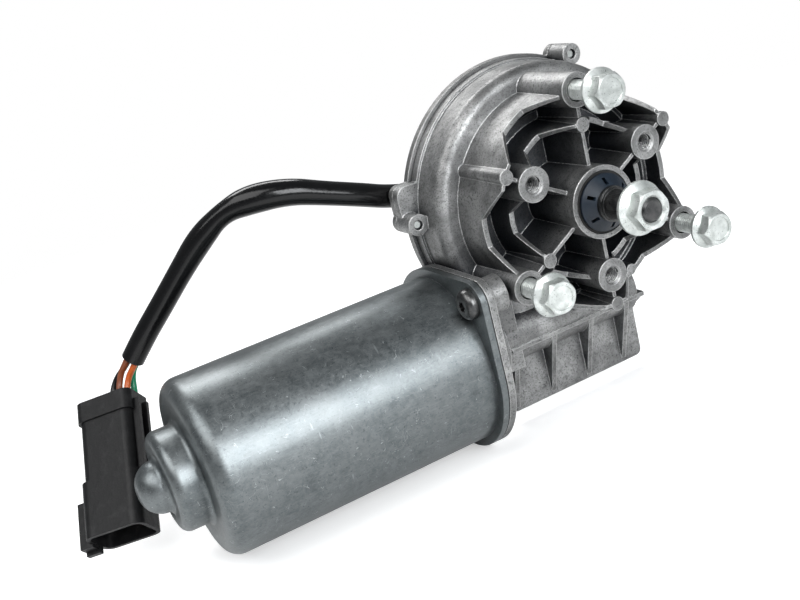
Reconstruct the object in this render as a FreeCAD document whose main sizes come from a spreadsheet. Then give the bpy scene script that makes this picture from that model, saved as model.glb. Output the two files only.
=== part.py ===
import FreeCAD, Part
import math
import os
import Sketcher

# Two-speed wiper motor: a worm gearbox in a ribbed die casting, a drawn steel motor can flanged to it
# and a short harness. Origin: the output shaft's axis in the plane of the mounting boss faces.
# The shaft points along -Y, the motor can's tail along -X, and +Z runs from the armature axis to it.

doc = FreeCAD.newDocument("wiper_motor")
sheet = doc.addObject("Spreadsheet::Sheet", "Size")

DIMENSIONS = (
    # Mounting bosses and the ribbed front
    ("outer_circle", 47.0, "radius of the circle of the three outer bosses"),
    ("inner_circle", 33.0, "radius of the circle of the three tapped inner bosses"),
    ("outer_boss", 7.2, "radius of an outer boss"),
    ("inner_boss", 7.3, "radius of an inner boss"),
    ("bolt_hole", 4.05, "radius of the hole that a mounting bolt stands in"),
    ("tapped_hole", 3.4, "radius of the M8 tapped hole"),
    ("tapped_depth", 20.0, "depth of the boss holes"),
    ("countersink", 0.9, "growth of a tapped hole's radius at its mouth"),
    ("countersink_depth", 0.45, "depth of a tapped hole's countersink"),
    ("bolt_mouth", 4.8, "radius of a bolt hole's wider mouth"),
    ("bolt_mouth_depth", 3.0, "depth of a bolt hole's wider mouth"),
    ("rim_face", 1.0, "depth of the ribs' highest edge behind the boss faces"),
    ("notch_depth", 14.0, "how far a notch in a rib wall goes down"),
    ("rib", 1.5, "thickness of a rib at its edge"),
    ("rib_draft", 0.9, "growth of a rib's half thickness to its foot"),
    ("outer_ring", 47.0, "outer radius of the outer rib wall"),
    ("inner_ring", 33.8, "outer radius of the inner rib wall"),
    ("pin", 3.1, "radius of a cast ejector pad"),
    ("low_pin", 2.5, "radius of the low ejector pad"),
    ("pocket_floor", 29.5, "depth of the pockets between the ribs"),
    # Drum of the gearbox
    ("front_face", 33.0, "depth of the drum's front face"),
    ("drum", 57.4, "outer radius of the drum"),
    ("drum_round", 5.0, "rounding of the drum's shoulder"),
    ("split", 54.9, "depth of the housing's rear face"),
    ("rim_band", 58.6, "outer radius of the housing's rear rim"),
    ("rim_width", 4.2, "width of the rear rim"),
    ("chamber", 54.0, "radius of the wheel chamber"),
    ("chamber_front", 36.3, "depth of the wheel chamber's front wall"),
    ("hub", 15.3, "outer radius of the hub around the shaft"),
    ("hub_face", -3.6, "depth of the hub's end face"),
    ("seal_seat", 13.2, "radius of the seal's seat in the hub"),
    ("seal_depth", 7.0, "depth of the seal's seat"),
    # Cover and its ears
    ("gasket", 0.6, "thickness of the cover gasket"),
    ("cover", 60.4, "outer radius of the cover"),
    ("cover_plate", 3.3, "thickness of the cover's edge"),
    ("dish", 47.0, "outer radius of the cover's raised dish"),
    ("dish_height", 3.6, "height of the dish above the edge"),
    ("cover_wall", 2.4, "wall of the dish"),
    ("ear_circle", 62.0, "radius of the circle of the ear holes"),
    ("ear", 4.7, "radius of an ear"),
    ("ear_root", 2.8, "half width of an ear's root on the housing"),
    ("ear_length", 11.5, "length of the ears on the housing"),
    ("ear_hole", 2.15, "radius of an ear hole"),
    ("cover_screw", 2.0, "radius of a cover screw"),
    ("cover_screw_head", 3.9, "radius of a cover screw's head"),
    ("cover_screw_length", 14.0, "length of a cover screw"),
    # Cable outlet
    ("outlet_y", 67.4, "depth of the cable outlet's axis"),
    ("outlet_z", 13.2, "height of the cable outlet's axis"),
    ("outlet_x", 48.5, "distance of the outlet's end from the shaft"),
    ("outlet_boss", 8.0, "radius of the outlet's boss"),
    ("gallery_x", 35.5, "distance of the gallery from the shaft"),
    ("gallery", 5.5, "radius of the gallery from the outlet into the dish"),
    ("lobe_x", 65.1, "reach of the lobe in front of the outlet"),
    ("lobe_top", 21.5, "height of the lobe's upper edge"),
    ("lobe_round", 4.5, "rounding of the lobe's corner"),
    ("grommet", 6.6, "radius of the grommet"),
    ("grommet_bore", 3.4, "radius of the grommet's bore"),
    ("cable", 10.4, "diameter of the harness sleeve"),
    ("wire", 2.8, "diameter of a wire"),
    ("lead", 1.8, "diameter of an inner lead"),
    # Output shaft
    ("shaft", 6.0, "radius of the output shaft"),
    ("running_gap", 0.05, "radial gap of a running fit"),
    ("bush_wall", 2.9, "wall of an output bush"),
    ("bush_length", 13.0, "length of an output bush"),
    ("shaft_rear", 50.4, "depth of the shaft's rear end"),
    ("knurl_start", 12.4, "distance of the knurled taper in front of the boss faces"),
    ("nut_face", 26.0, "distance of the nut's flange in front of the boss faces"),
    ("nut_height", 8.8, "height of the nut"),
    ("nut_flange", 10.9, "radius of the nut's flange"),
    ("nut_flats", 15.0, "width across the nut's flats"),
    ("nut_thread", 5.0, "thread radius of the shaft's end"),
    ("collar", 7.4, "radius of the shaft's collar"),
    ("dust_cap", 12.0, "radius of the dust cap's foot"),
    ("dust_cap_height", 4.9, "height of the dust cap"),
    # Mounting bolts
    ("bolt_thread", 3.95, "thread radius of a mounting bolt"),
    ("bolt_stand", 15.0, "distance of a bolt's flange from its boss"),
    ("bolt_length", 25.0, "length of a bolt's shank"),
    ("bolt_flange", 8.95, "radius of a bolt's flange"),
    ("bolt_flats", 13.0, "width across a bolt's flats"),
    ("bolt_head", 7.9, "height of a bolt's head with its flange"),
    # Worm drive
    ("armature_y", 42.0, "depth of the armature's axis"),
    ("centre_distance", 56.0, "distance from the shaft's axis to the armature's axis"),
    ("tooth_module", 1.75, "module of the gears"),
    ("wheel_teeth", 56.0, "teeth of the wheel"),
    ("worm_pitch_radius", 7.0, "pitch radius of the worm"),
    ("worm_turns", 6.9, "turns of the worm's thread"),
    ("worm_root", 4.9, "radius of the worm's core"),
    ("backlash", 0.3, "gap on each flank of the gears"),
    ("wheel_width", 9.6, "width of the wheel"),
    ("wheel_web", 4.0, "thickness of the wheel's web"),
    ("wheel_hub", 14.0, "radius of the steel hub in the wheel"),
    ("worm_tube", 13.4, "outer radius of the worm's tube"),
    ("worm_bore", 9.4, "bore of the worm's tube"),
    ("tube_end", 31.2, "where the worm's tube ends"),
    ("end_bush_start", 21.5, "where the end bush starts"),
    ("end_bush_length", 6.5, "length of the end bush"),
    # Foot web under the gearbox
    ("web", 3.4, "thickness of the foot web"),
    ("web_bottom", 93.6, "distance of the web's lower edge below the shaft's axis"),
    ("web_start", 39.5, "distance of the web's other end from the shaft"),
    ("web_end", 35.5, "where the web ends"),
    ("web_round", 3.0, "rounding of the web's lower corners"),
    ("gusset", 2.4, "thickness of a gusset"),
    ("gusset_pitch", 20.6, "distance between gussets"),
    ("gussets", 4.0, "gussets on each face of the web"),
    ("ridge_y", 28.2, "depth of the ridge above the gussets"),
    ("ridge_z", 59.6, "distance of the ridge below the shaft's axis"),
    # Flange joint
    ("flange", 41.7, "radius of the flange"),
    ("flange_corner", 9.0, "corner radius of the flange"),
    ("housing_flange", 3.2, "thickness of the housing's flange"),
    ("flange_face", 60.4, "distance of the housing's flange face from the shaft's axis"),
    ("flange_gasket", 0.5, "thickness of the flange gasket"),
    ("can_flange", 2.8, "thickness of the can's flange"),
    ("flange_screw", 2.9, "radius of a flange screw"),
    ("flange_screw_head", 6.5, "radius of a flange screw's head"),
    ("flange_screw_rise", 4.4, "height of a flange screw's head"),
    ("flange_screw_length", 13.0, "length of a flange screw"),
    # Motor can
    ("can", 38.0, "outer radius of the can"),
    ("can_wall", 2.0, "wall of the can"),
    ("can_tail", 185.7, "distance of the can's tail face from the shaft's axis"),
    ("can_round", 7.0, "rounding of the can's tail"),
    ("cup", 21.3, "outer radius of the bearing cup"),
    ("cup_height", 12.3, "height of the bearing cup"),
    ("nose", 11.0, "outer radius of the nose"),
    ("nose_height", 10.6, "height of the nose"),
    # Armature
    ("armature_shaft", 5.0, "radius of the armature shaft"),
    ("journal", 4.5, "radius of the shaft's journals"),
    ("core", 28.4, "radius of the armature core"),
    ("core_start", 96.0, "distance of the core's front end from the output shaft's axis"),
    ("core_length", 62.0, "length of the armature core"),
    ("core_slots", 12.0, "slots of the armature core"),
    ("slot_circle", 21.6, "radius of the circle of the slots"),
    ("slot", 3.6, "radius of a slot"),
    ("winding_gap", 0.4, "gap around the winding in a slot"),
    ("winding_end", 10.0, "length of the winding beyond the core"),
    ("commutator", 12.5, "radius of the commutator"),
    ("commutator_start", 67.0, "distance of the commutator's front end from the output shaft's axis"),
    ("commutator_length", 14.0, "length of the commutator"),
    ("magnet_inner", 29.4, "inner radius of a field magnet"),
    ("magnet_gap", 0.05, "gap between a magnet and the can"),
    ("magnet_span", 130.0, "angle that a field magnet spans"),
    ("magnet_length", 70.0, "length of a field magnet"),
    # Bearings
    ("bearing", 13.0, "outer radius of the ball bearing"),
    ("bearing_width", 8.0, "width of the ball bearing"),
    ("bearing_start", 55.0, "distance of the bearing's can side from the output shaft's axis"),
    ("bearing_ring", 2.4, "wall of a bearing ring"),
    ("ball", 2.3, "radius of a bearing ball"),
    ("balls", 8.0, "balls in the bearing"),
    ("ball_gap", 0.08, "gap between a ball and its groove"),
    ("tail_bush", 11.0, "radius of the tail bush"),
    ("tail_bush_length", 9.0, "length of the tail bush"),
    # Brush gear
    ("brush_plate", 35.4, "radius of the brush plate"),
    ("brush_plate_thickness", 2.5, "thickness of the brush plate"),
    ("brush_plate_face", 62.4, "distance of the brush plate's front from the output shaft's axis"),
    ("brush_width", 6.0, "width of a brush across the shaft"),
    ("brush_length", 9.0, "length of a brush along the shaft"),
    ("brush_depth", 11.0, "length of a brush towards the shaft"),
    ("brush_gap", 0.25, "gap between a brush and its surroundings"),
    ("holder_wall", 0.9, "wall of a brush holder"),
    ("holder_outer", 33.0, "distance of a holder's outer end from the armature's axis"),
    ("spring", 2.1, "radius of a brush spring"),
    ("spring_wire", 0.5, "diameter of a spring's wire"),
    ("spring_turns", 5.0, "turns of a brush spring"),
    # Park switch
    ("contact_track", 38.0, "outer radius of the contact disc"),
    ("contact_hole", 18.0, "inner radius of the contact disc"),
    ("contact_thickness", 0.6, "thickness of the contact disc and fingers"),
    ("switch_plate", 2.0, "thickness of the switch plate"),
    ("passage_y", 50.2, "depth of the passage of the brush leads"),
    ("passage_z", 27.0, "distance of the passage below the shaft's axis"),
    ("passage", 3.0, "radius of the passage of the brush leads"),
    # Connector, with its own axes: X across, Y towards the broad face, Z towards the mouth
    ("connector_x", -216.3, "place of the mouth's centre"),
    ("connector_y", 70.3, "place of the mouth's centre"),
    ("connector_z", -82.7, "place of the mouth's centre"),
    ("connector_yaw", -32.53, "turn of the connector"),
    ("connector_pitch", -8.84, "turn of the connector"),
    ("connector_roll", 133.0, "turn of the connector"),
    ("connector_width", 27.6, "width of the mouth end"),
    ("connector_depth", 19.6, "depth of the mouth end"),
    ("connector_length", 62.6, "length of the connector"),
    ("mouth_length", 25.0, "length of the wider mouth end"),
    ("waist", 1.2, "how far the middle stands back on each side"),
    ("collar_length", 9.4, "length of the rear collar"),
    ("connector_wall", 1.7, "wall of the mouth"),
    ("cavity", 19.0, "depth of the mouth's cavity"),
    ("latch", 5.0, "reach of the latch beside the mouth end"),
    ("pin_contact", 1.1, "radius of a contact pin"),
)

for row, (alias, value, meaning) in enumerate(DIMENSIONS, start=1):
    sheet.set(f"A{row}", alias)
    sheet.set(f"B{row}", str(value))
    sheet.set(f"C{row}", meaning)
    sheet.setAlias(f"B{row}", alias)
doc.recompute()


def size(alias):
    return float(getattr(sheet, alias))


# Expressions over the sheet. "S." stands for the sheet in them.

def text(value):
    return str(value).replace("S.", "Size.")


def bind(item, **values):
    for path, value in values.items():
        item.setExpression(path.replace("__", "."), text(value))
    return item


# Turns that lay a piece's own Z along an axis of the motor.
UPRIGHT = FreeCAD.Rotation()
TO_FRONT = FreeCAD.Rotation(FreeCAD.Vector(1, 0, 0), 90)
TO_BACK = FreeCAD.Rotation(FreeCAD.Vector(1, 0, 0), -90)
TO_END = FreeCAD.Rotation(FreeCAD.Vector(0, 1, 0), 90)
TO_TAIL = FreeCAD.Rotation(FreeCAD.Vector(0, 1, 0), -90)


def around_shaft(angle):
    """The turn about the output shaft that points a piece's own Z at this angle from +X."""
    return FreeCAD.Rotation(FreeCAD.Vector(0, 1, 0), 90 - angle)


def put(item, x=0, y=0, z=0, turn=UPRIGHT):
    item.Placement = FreeCAD.Placement(FreeCAD.Vector(), turn)
    bind(item, Placement__Base__x=x, Placement__Base__y=y, Placement__Base__z=z)
    return item


def cylinder(name, radius, length, x=0, y=0, z=0, turn=UPRIGHT):
    item = doc.addObject("Part::Cylinder", name)
    bind(item, Radius=radius, Height=length)
    return put(item, x, y, z, turn)


def cone(name, first, second, length, x=0, y=0, z=0, turn=UPRIGHT):
    item = doc.addObject("Part::Cone", name)
    bind(item, Radius1=first, Radius2=second, Height=length)
    return put(item, x, y, z, turn)


def ball(name, radius, x=0, y=0, z=0):
    item = doc.addObject("Part::Sphere", name)
    bind(item, Radius=radius)
    return put(item, x, y, z)


def block(name, low, high, turn=UPRIGHT, top=None):
    """A box between two corners; top gives other X and Z limits at its high Y, as a draft does."""
    item = doc.addObject("Part::Wedge", name)
    top = top or (low[0], high[0], low[2], high[2])
    bind(item, Xmin=low[0], Xmax=high[0], Ymin=low[1], Ymax=high[1], Zmin=low[2], Zmax=high[2])
    bind(item, X2min=top[0], X2max=top[1], Z2min=top[2], Z2max=top[3])
    item.Placement = FreeCAD.Placement(FreeCAD.Vector(), turn)
    return item


def hexagon(name, flats, length, x=0, y=0, z=0, turn=UPRIGHT):
    item = doc.addObject("Part::Prism", name)
    item.Polygon = 6
    bind(item, Circumradius=f"{flats} / 2 / cos(30 deg)", Height=length)
    return put(item, x, y, z, turn)


def fuse(name, *items):
    item = doc.addObject("Part::MultiFuse", name)
    item.Shapes = list(items)
    item.Refine = True
    return item


def cut(name, base, *tools):
    tool = tools[0] if len(tools) == 1 else fuse(name + "_tools", *tools)
    item = doc.addObject("Part::Cut", name)
    item.Base = base
    item.Tool = tool
    return item


def common(name, *items):
    item = doc.addObject("Part::MultiCommon", name)
    item.Shapes = list(items)
    return item


def group(name, *items):
    item = doc.addObject("Part::Compound", name)
    item.Links = list(items)
    return item


def feature(name, shape, placement=None):
    item = doc.addObject("Part::Feature", name)
    item.Shape = shape
    if placement:
        item.Placement = placement
    return item


def plane(item, role="XY_Plane"):
    return next(each for each in item.Origin.OriginFeatures if each.Role == role)


def new_body(name, x=0, y=0, z=0, turn=UPRIGHT):
    return put(doc.addObject("PartDesign::Body", name), x, y, z, turn)


def new_sketch(item, role="XY_Plane"):
    sketch = item.newObject("Sketcher::SketchObject", item.Name + "_sketch")
    sketch.AttachmentSupport = [(plane(item, role), "")]
    sketch.MapMode = "FlatFace"
    return sketch


def add_circle(sketch, radius, x=0, y=0):
    """A circle whose radius and centre are bound to the sheet."""
    circle = Part.Circle(FreeCAD.Vector(1, 1, 0), FreeCAD.Vector(0, 0, 1), 5)
    edge = sketch.addGeometry(circle, False)
    for kind, value in (("DistanceX", x), ("DistanceY", y)):
        if value == 0:
            sketch.addConstraint(Sketcher.Constraint("PointOnObject", edge, 3,
                                                     -2 if kind[-1] == "X" else -1))
            continue
        index = sketch.addConstraint(Sketcher.Constraint(kind, -1, 1, edge, 3, 1.0))
        sketch.setExpression(f"Constraints[{index}]", text(value))
    index = sketch.addConstraint(Sketcher.Constraint("Radius", edge, 5.0))
    sketch.setExpression(f"Constraints[{index}]", text(radius))


def pad(item, sketch, length):
    result = item.newObject("PartDesign::Pad", item.Name + "_pad")
    result.Profile = sketch
    bind(result, Length=length)
    sketch.Visibility = False
    item.Tip = result
    return result


def ring(name, outer, inner, length, x=0, y=0, z=0, turn=UPRIGHT):
    """A padded ring, such as a bush, washer or gasket; inner 0 makes a plain disc."""
    item = new_body(name, x, y, z, turn)
    sketch = new_sketch(item)
    add_circle(sketch, outer)
    if inner != 0:
        add_circle(sketch, inner)
    pad(item, sketch, length)
    return item


def turned(name, profile, x=0, y=0, z=0, turn=UPRIGHT, rounds=()):
    """A turned or drawn piece: its half section, as radius and height pairs, is revolved.

    Each of rounds gives the radius and height of a corner circle and the rounding it gets.
    """
    item = new_body(name, x, y, z, turn)
    revolve(item, profile, "PartDesign::Revolution")
    for radius, height, rounding in rounds:
        round_corner(item, radius, height, rounding)
    return item


def revolve(item, profile, kind):
    sketch = new_sketch(item, "XZ_Plane")
    count = len(profile)
    values = [[evaluate(each) for each in pair] for pair in profile]
    for index in range(count):
        start = FreeCAD.Vector(*values[index], 0)
        end = FreeCAD.Vector(*values[(index + 1) % count], 0)
        sketch.addGeometry(Part.LineSegment(start, end), False)
    for index in range(count):
        sketch.addConstraint(Sketcher.Constraint("Coincident", index, 2, (index + 1) % count, 1))
    for index, (radius, height) in enumerate(profile):
        for direction, value, axis in (("DistanceX", radius, -2), ("DistanceY", height, -1)):
            if value == 0:
                sketch.addConstraint(Sketcher.Constraint("PointOnObject", index, 1, axis))
                continue
            number = values[index][0 if direction == "DistanceX" else 1]
            place = sketch.addConstraint(Sketcher.Constraint(direction, -1, 1, index, 1, number))
            sketch.setExpression(f"Constraints[{place}]", text(value))
    result = item.newObject(kind, item.Name + "_turn")
    result.Profile = sketch
    result.ReferenceAxis = (sketch, ["V_Axis"])
    result.Angle = 360
    sketch.Visibility = False
    item.Tip = result
    doc.recompute()
    return result


def evaluate(value):
    """The number that an expression over the sheet gives now, to draw a sketch near its place."""
    return float(sheet.evalExpression(text(value)))


def round_corner(item, radius, height, rounding):
    near_radius = evaluate(radius)
    near_height = evaluate(height)
    base = item.Tip
    for index, edge in enumerate(base.Shape.Edges, start=1):
        if not isinstance(edge.Curve, Part.Circle):
            continue
        same_radius = abs(edge.Curve.Radius - near_radius) < 1e-4
        if same_radius and abs(edge.Curve.Center.z - near_height) < 1e-4:
            result = item.newObject("PartDesign::Fillet", item.Name + "_round")
            result.Base = (base, [f"Edge{index}"])
            bind(result, Radius=rounding)
            item.Tip = result
            doc.recompute()
            return
    raise RuntimeError(f"{item.Name}: no corner at radius {near_radius}, height {near_height}")


def on_circle(radius, angle, centre=0):
    """X and Z expressions of a point on a circle about the output shaft."""
    return f"{radius} * cos({angle} deg)", f"{centre} + {radius} * sin({angle} deg)"


FINISHED = []


def finish(item, label):
    item.Label = label
    FINISHED.append(item)
    return item


# The armature's axis in expressions.
AXIS_Y = "S.armature_y"
AXIS_Z = "-S.centre_distance"
BOSS_ANGLES = (90, 210, 330)
TAPPED_ANGLES = (150, 30, 270)


def flange_sketch(item, hole):
    """The flange's outline: a circle squared off at two opposite corners, with a round hole."""
    sketch = new_sketch(item)
    circle = size("flange")
    corner = size("flange_corner")
    near = circle - corner
    up = FreeCAD.Vector(0, 0, 1)

    def arc(x, y, radius, first, last):
        centre = FreeCAD.Vector(x, y, 0)
        whole = Part.Circle(centre, up, radius)
        return Part.ArcOfCircle(whole, math.radians(first), math.radians(last))

    def line(x1, y1, x2, y2):
        return Part.LineSegment(FreeCAD.Vector(x1, y1, 0), FreeCAD.Vector(x2, y2, 0))

    pieces = (
        arc(0, 0, circle, 90, 180),
        line(-circle, 0, -circle, -near),
        arc(-near, -near, corner, 180, 270),
        line(-near, -circle, 0, -circle),
        arc(0, 0, circle, 270, 360),
        line(circle, 0, circle, near),
        arc(near, near, corner, 0, 90),
        line(near, circle, 0, circle),
    )
    for piece in pieces:
        sketch.addGeometry(piece, False)
    for index in range(8):
        following = (index + 1) % 8
        sketch.addConstraint(Sketcher.Constraint("Tangent", index, 2, following, 1))
    for index in (0, 4):
        sketch.addConstraint(Sketcher.Constraint("Coincident", index, 3, -1, 1))
    for index, alias in ((0, "flange"), (4, "flange"), (2, "flange_corner"), (6, "flange_corner")):
        value = circle if alias == "flange" else corner
        place = sketch.addConstraint(Sketcher.Constraint("Radius", index, value))
        sketch.setExpression(f"Constraints[{place}]", text("S." + alias))
    for index in (1, 5):
        sketch.addConstraint(Sketcher.Constraint("Vertical", index))
    for index in (3, 7):
        sketch.addConstraint(Sketcher.Constraint("Horizontal", index))
    if hole != 0:
        add_circle(sketch, hole)
    return sketch


# A flange is drawn looking from the can, with its own X towards the front of the motor.
FLANGE_TURN = FreeCAD.Rotation(FreeCAD.Vector(0, -1, 0), FreeCAD.Vector(0, 0, 1), FreeCAD.Vector(-1, 0, 0),
                               "ZXY")
CORNER = "(S.flange - S.flange_corner)"
SCREW_PLACES = ((f"S.armature_y - {CORNER}", f"-S.centre_distance + {CORNER}"),
                (f"S.armature_y + {CORNER}", f"-S.centre_distance - {CORNER}"))


def flange_plate(name, hole, thickness, x):
    """A flange plate whose can side is at x; it grows towards the gearbox."""
    item = new_body(name, f"{x} + {thickness}", AXIS_Y, AXIS_Z, FLANGE_TURN)
    pad(item, flange_sketch(item, hole), thickness)
    return item


# Gear housing: one die casting. The drum holds the wheel, the tube under it the worm.

def notch(name, ring_radius, angle):
    """A wide V with a flat bottom, cut through a rib wall between a boss and a pad."""
    outer = f"{ring_radius} + 4"
    wide = f"{ring_radius} * 0.425"
    narrow = f"{ring_radius} * 0.13"
    return block(name, (f"-{wide}", "S.rim_face - 2", f"{ring_radius} - 8"),
                 (wide, "S.rim_face + S.notch_depth", outer),
                 around_shaft(angle), (f"-{narrow}", narrow, f"{ring_radius} - 8", outer))


def rib_wall(name, ring_radius, first_notch):
    """A round rib wall with six notches, drafted so that it is thicker at its foot."""
    depth = "S.front_face + 1 - S.rim_face"
    outside = cone(name + "_outside", ring_radius, f"{ring_radius} + S.rib_draft", depth, y="S.rim_face",
                   turn=TO_BACK)
    inside = cone(name + "_inside", f"{ring_radius} - S.rib", f"{ring_radius} - S.rib - S.rib_draft", depth,
                  y="S.rim_face", turn=TO_BACK)
    notches = [notch(f"{name}_notch{index}", ring_radius, first_notch + 60 * index) for index in range(6)]
    return cut(name, outside, inside, *notches)


drum = turned("drum", ((0, 0), ("S.drum", 0), ("S.drum", "S.split - S.front_face"),
                       (0, "S.split - S.front_face")),
              y="S.front_face", turn=TO_BACK, rounds=(("S.drum", 0, "S.drum_round"),))
rim = cylinder("rim", "S.rim_band", "S.rim_width", y="S.split - S.rim_width", turn=TO_BACK)
floor = cylinder("pocket_base", "S.outer_ring - 1", "S.chamber_front - S.pocket_floor", y="S.pocket_floor",
                 turn=TO_BACK)
step = cut("floor_step", cylinder("step_outside", "S.outer_ring - 1", "6", y="S.pocket_floor - 5.5",
                                  turn=TO_BACK),
           cone("step_inside", "S.outer_ring - 4", "S.outer_ring - 9", "6", y="S.pocket_floor - 5.5",
                turn=TO_BACK))
hub = cylinder("hub", "S.hub", "S.chamber_front - S.hub_face", y="S.hub_face", turn=TO_BACK)
outer_wall = rib_wall("outer_wall", "S.outer_ring", 0)
inner_wall = rib_wall("inner_wall", "S.inner_ring", 0)
web_ribs = [
    block(f"radial_rib{angle}", ("-S.rib / 2", "S.rim_face + 0.6", "S.hub - 1"),
          ("S.rib / 2", "S.pocket_floor + 1", "S.outer_ring - 1"), around_shaft(angle),
          ("-S.rib / 2 - S.rib_draft", "S.rib / 2 + S.rib_draft", "S.hub - 1", "S.outer_ring - 1"))
    for angle in range(30, 390, 60)
]
bosses = []
for angle in BOSS_ANGLES:
    x, z = on_circle("S.outer_circle", angle)
    bosses.append(cylinder(f"outer_boss{angle}", "S.outer_boss", "S.front_face + 8", x, 0, z, TO_BACK))
    x, z = on_circle("(S.inner_ring - 1.2)", angle)
    bosses.append(cylinder(f"inner_pad{angle}", "S.pin", "S.front_face - 0.4", x, 0.4, z, TO_BACK))
for angle in TAPPED_ANGLES:
    x, z = on_circle("S.inner_circle", angle)
    bosses.append(cylinder(f"inner_boss{angle}", "S.inner_boss", "S.front_face", x, 0, z, TO_BACK))
    x, z = on_circle("(S.outer_ring - 0.8)", angle)
    bosses.append(cylinder(f"outer_pad{angle}", "S.pin", "S.front_face - 0.4", x, 0.4, z, TO_BACK))
x, z = on_circle("(S.outer_ring - 1.6)", -63)
bosses.append(cylinder("low_pad", "S.low_pin", "S.front_face - S.notch_depth - 1", x, "S.notch_depth + 1",
                       z, TO_BACK))
ears = []
EAR_ANGLES = (60, 175, 318)
for angle in EAR_ANGLES:
    x, z = on_circle("S.ear_circle", angle)
    ears.append(cylinder(f"ear{angle}", "S.ear", "S.ear_length", x, "S.split - S.ear_length", z, TO_BACK))
    ears.append(block(f"ear_root{angle}", ("-S.ear_root", "S.split - S.ear_length", "S.drum - 4"),
                      ("S.ear_root", "S.split", "S.ear_circle"), around_shaft(angle)))


def lobe(name, start, end):
    """The rounded lobe beside the ear at the outlet, between two depths; it hides the cable's start."""
    ear_z = "S.ear_circle * sin(175 deg)"
    side = block(name + "_side", ("-S.lobe_x", start, ear_z),
                 ("-S.drum + 8", end, "S.lobe_top - S.lobe_round"))
    top = block(name + "_top", ("S.lobe_round - S.lobe_x", start, ear_z),
                ("-S.drum + 8", end, "S.lobe_top"))
    corner = cylinder(name + "_corner", "S.lobe_round", f"{end} - ({start})", "S.lobe_round - S.lobe_x",
                      start,
                      "S.lobe_top - S.lobe_round", TO_BACK)
    return [side, top, corner]


lobe_pieces = lobe("lobe", "S.split - S.rim_width", "S.split")
tube = cylinder("tube", "S.worm_tube", "S.flange_face + S.tube_end - 1", "1 - S.flange_face", AXIS_Y,
                AXIS_Z, TO_END)
bearing_boss = cylinder("bearing_boss", "S.bearing + 4.5", "17", "1 - S.flange_face", AXIS_Y, AXIS_Z,
                        TO_END)
neck = block("neck", ("1 - S.flange_face", "S.armature_y - 12.6", "-S.centre_distance - 13"),
             ("-34", "S.split - 0.4", "-22"))
WEB_FRONT = "(S.armature_y - S.web / 2)"
WEB_BACK = "(S.armature_y + S.web / 2)"
foot = [block("foot", ("-S.web_start", WEB_FRONT, "S.web_round - S.web_bottom"),
              ("S.web_end", WEB_BACK, "-S.centre_distance")),
        block("foot_edge", ("S.web_round - S.web_start", WEB_FRONT, "-S.web_bottom"),
              ("S.web_end - S.web_round", WEB_BACK, "-S.centre_distance"))]
for name, x in (("left", "S.web_round - S.web_start"), ("right", "S.web_end - S.web_round")):
    foot.append(cylinder(f"foot_{name}", "S.web_round", "S.web", x, WEB_FRONT,
                         "S.web_round - S.web_bottom", TO_BACK))
ridge = block("ridge", ("-S.web_start", "S.ridge_y", "-S.ridge_z - 1"),
              ("S.web_end - 1", "S.armature_y", "-S.ridge_z + 1"))
apron = block("apron", ("-S.web_start", "0", "S.ridge_y"), ("S.web_end - 1", "9.6", "S.armature_y"),
              TO_BACK,
              ("-S.web_start", "S.web_end - 1", "S.armature_y - 2", "S.armature_y"))
bind(apron, Placement__Base__z="-S.ridge_z")
gussets = []
for index in range(int(size("gussets"))):
    middle = f"(-17.5 + S.gusset_pitch * {index - 1} + S.gusset / 2)"
    low = f"{middle} - S.gusset / 2"
    high = f"{middle} + S.gusset / 2"
    for side, near in (("front", "S.ridge_y + 0.6"), ("rear", "2 * S.armature_y - S.ridge_y - 2")):
        limits = (near, "S.armature_y") if side == "front" else ("S.armature_y", near)
        ends = ("S.armature_y - 2", "S.armature_y") if side == "front" else ("S.armature_y",
                                                                             "S.armature_y + 2")
        gusset = block(f"gusset_{side}{index}", (low, "0", limits[0]),
                       (high, "S.web_bottom - S.ridge_z - 2", limits[1]),
                       TO_BACK, (low, high, ends[0], ends[1]))
        bind(gusset, Placement__Base__z="-S.ridge_z")
        gussets.append(gusset)
flange = flange_plate("flange", 0, "S.housing_flange", "-S.flange_face")
screw_bosses = [cylinder(f"screw_boss{index}", "S.flange_corner - 1", "S.housing_flange + 6.5",
                         "0.5 - S.flange_face",
                         y, z, TO_END) for index, (y, z) in enumerate(SCREW_PLACES)]
casting = fuse("casting", drum, rim, floor, step, hub, outer_wall, inner_wall, *web_ribs, *bosses, *ears,
               *lobe_pieces,
               tube, bearing_boss, neck, *foot, ridge, apron, *gussets, flange, *screw_bosses)

hollows = [
    cylinder("chamber", "S.chamber", "S.split - S.chamber_front + 1", y="S.chamber_front", turn=TO_BACK),
    cylinder("hub_bore", "S.shaft + S.running_gap + S.bush_wall + 0.02", "S.chamber_front - S.hub_face + 2",
             y="S.hub_face - 1", turn=TO_BACK),
    cylinder("seal_bore", "S.seal_seat", "S.seal_depth + 1", y="S.hub_face - 1", turn=TO_BACK),
    cylinder("worm_space", "S.worm_bore", "S.flange_face + S.end_bush_start - 2", "-S.flange_face + 2",
             AXIS_Y, AXIS_Z,
             TO_END),
    cylinder("bush_seat", "S.journal + S.running_gap + 2.52", "S.tube_end + 2", "0", AXIS_Y, AXIS_Z,
             TO_END),
    cylinder("bearing_seat", "S.bearing + 0.02", "S.flange_face - S.bearing_start + S.bearing_width + 1",
             "-S.flange_face - 1", AXIS_Y, AXIS_Z, TO_END),
    cylinder("lead_passage", "S.passage", "26", "-S.flange_face - 1", "S.passage_y", "-S.passage_z",
             TO_END),
    cylinder("cover_room", "S.cover + 0.6", "14", y="S.split", turn=TO_BACK),
    block("flange_room", ("-S.flange_face - 30", "S.armature_y - S.flange - 1",
                          "-S.centre_distance - S.flange - 1"),
          ("-S.flange_face", "S.armature_y + S.flange + 1", "-S.centre_distance + S.flange + 1")),
]
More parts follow.
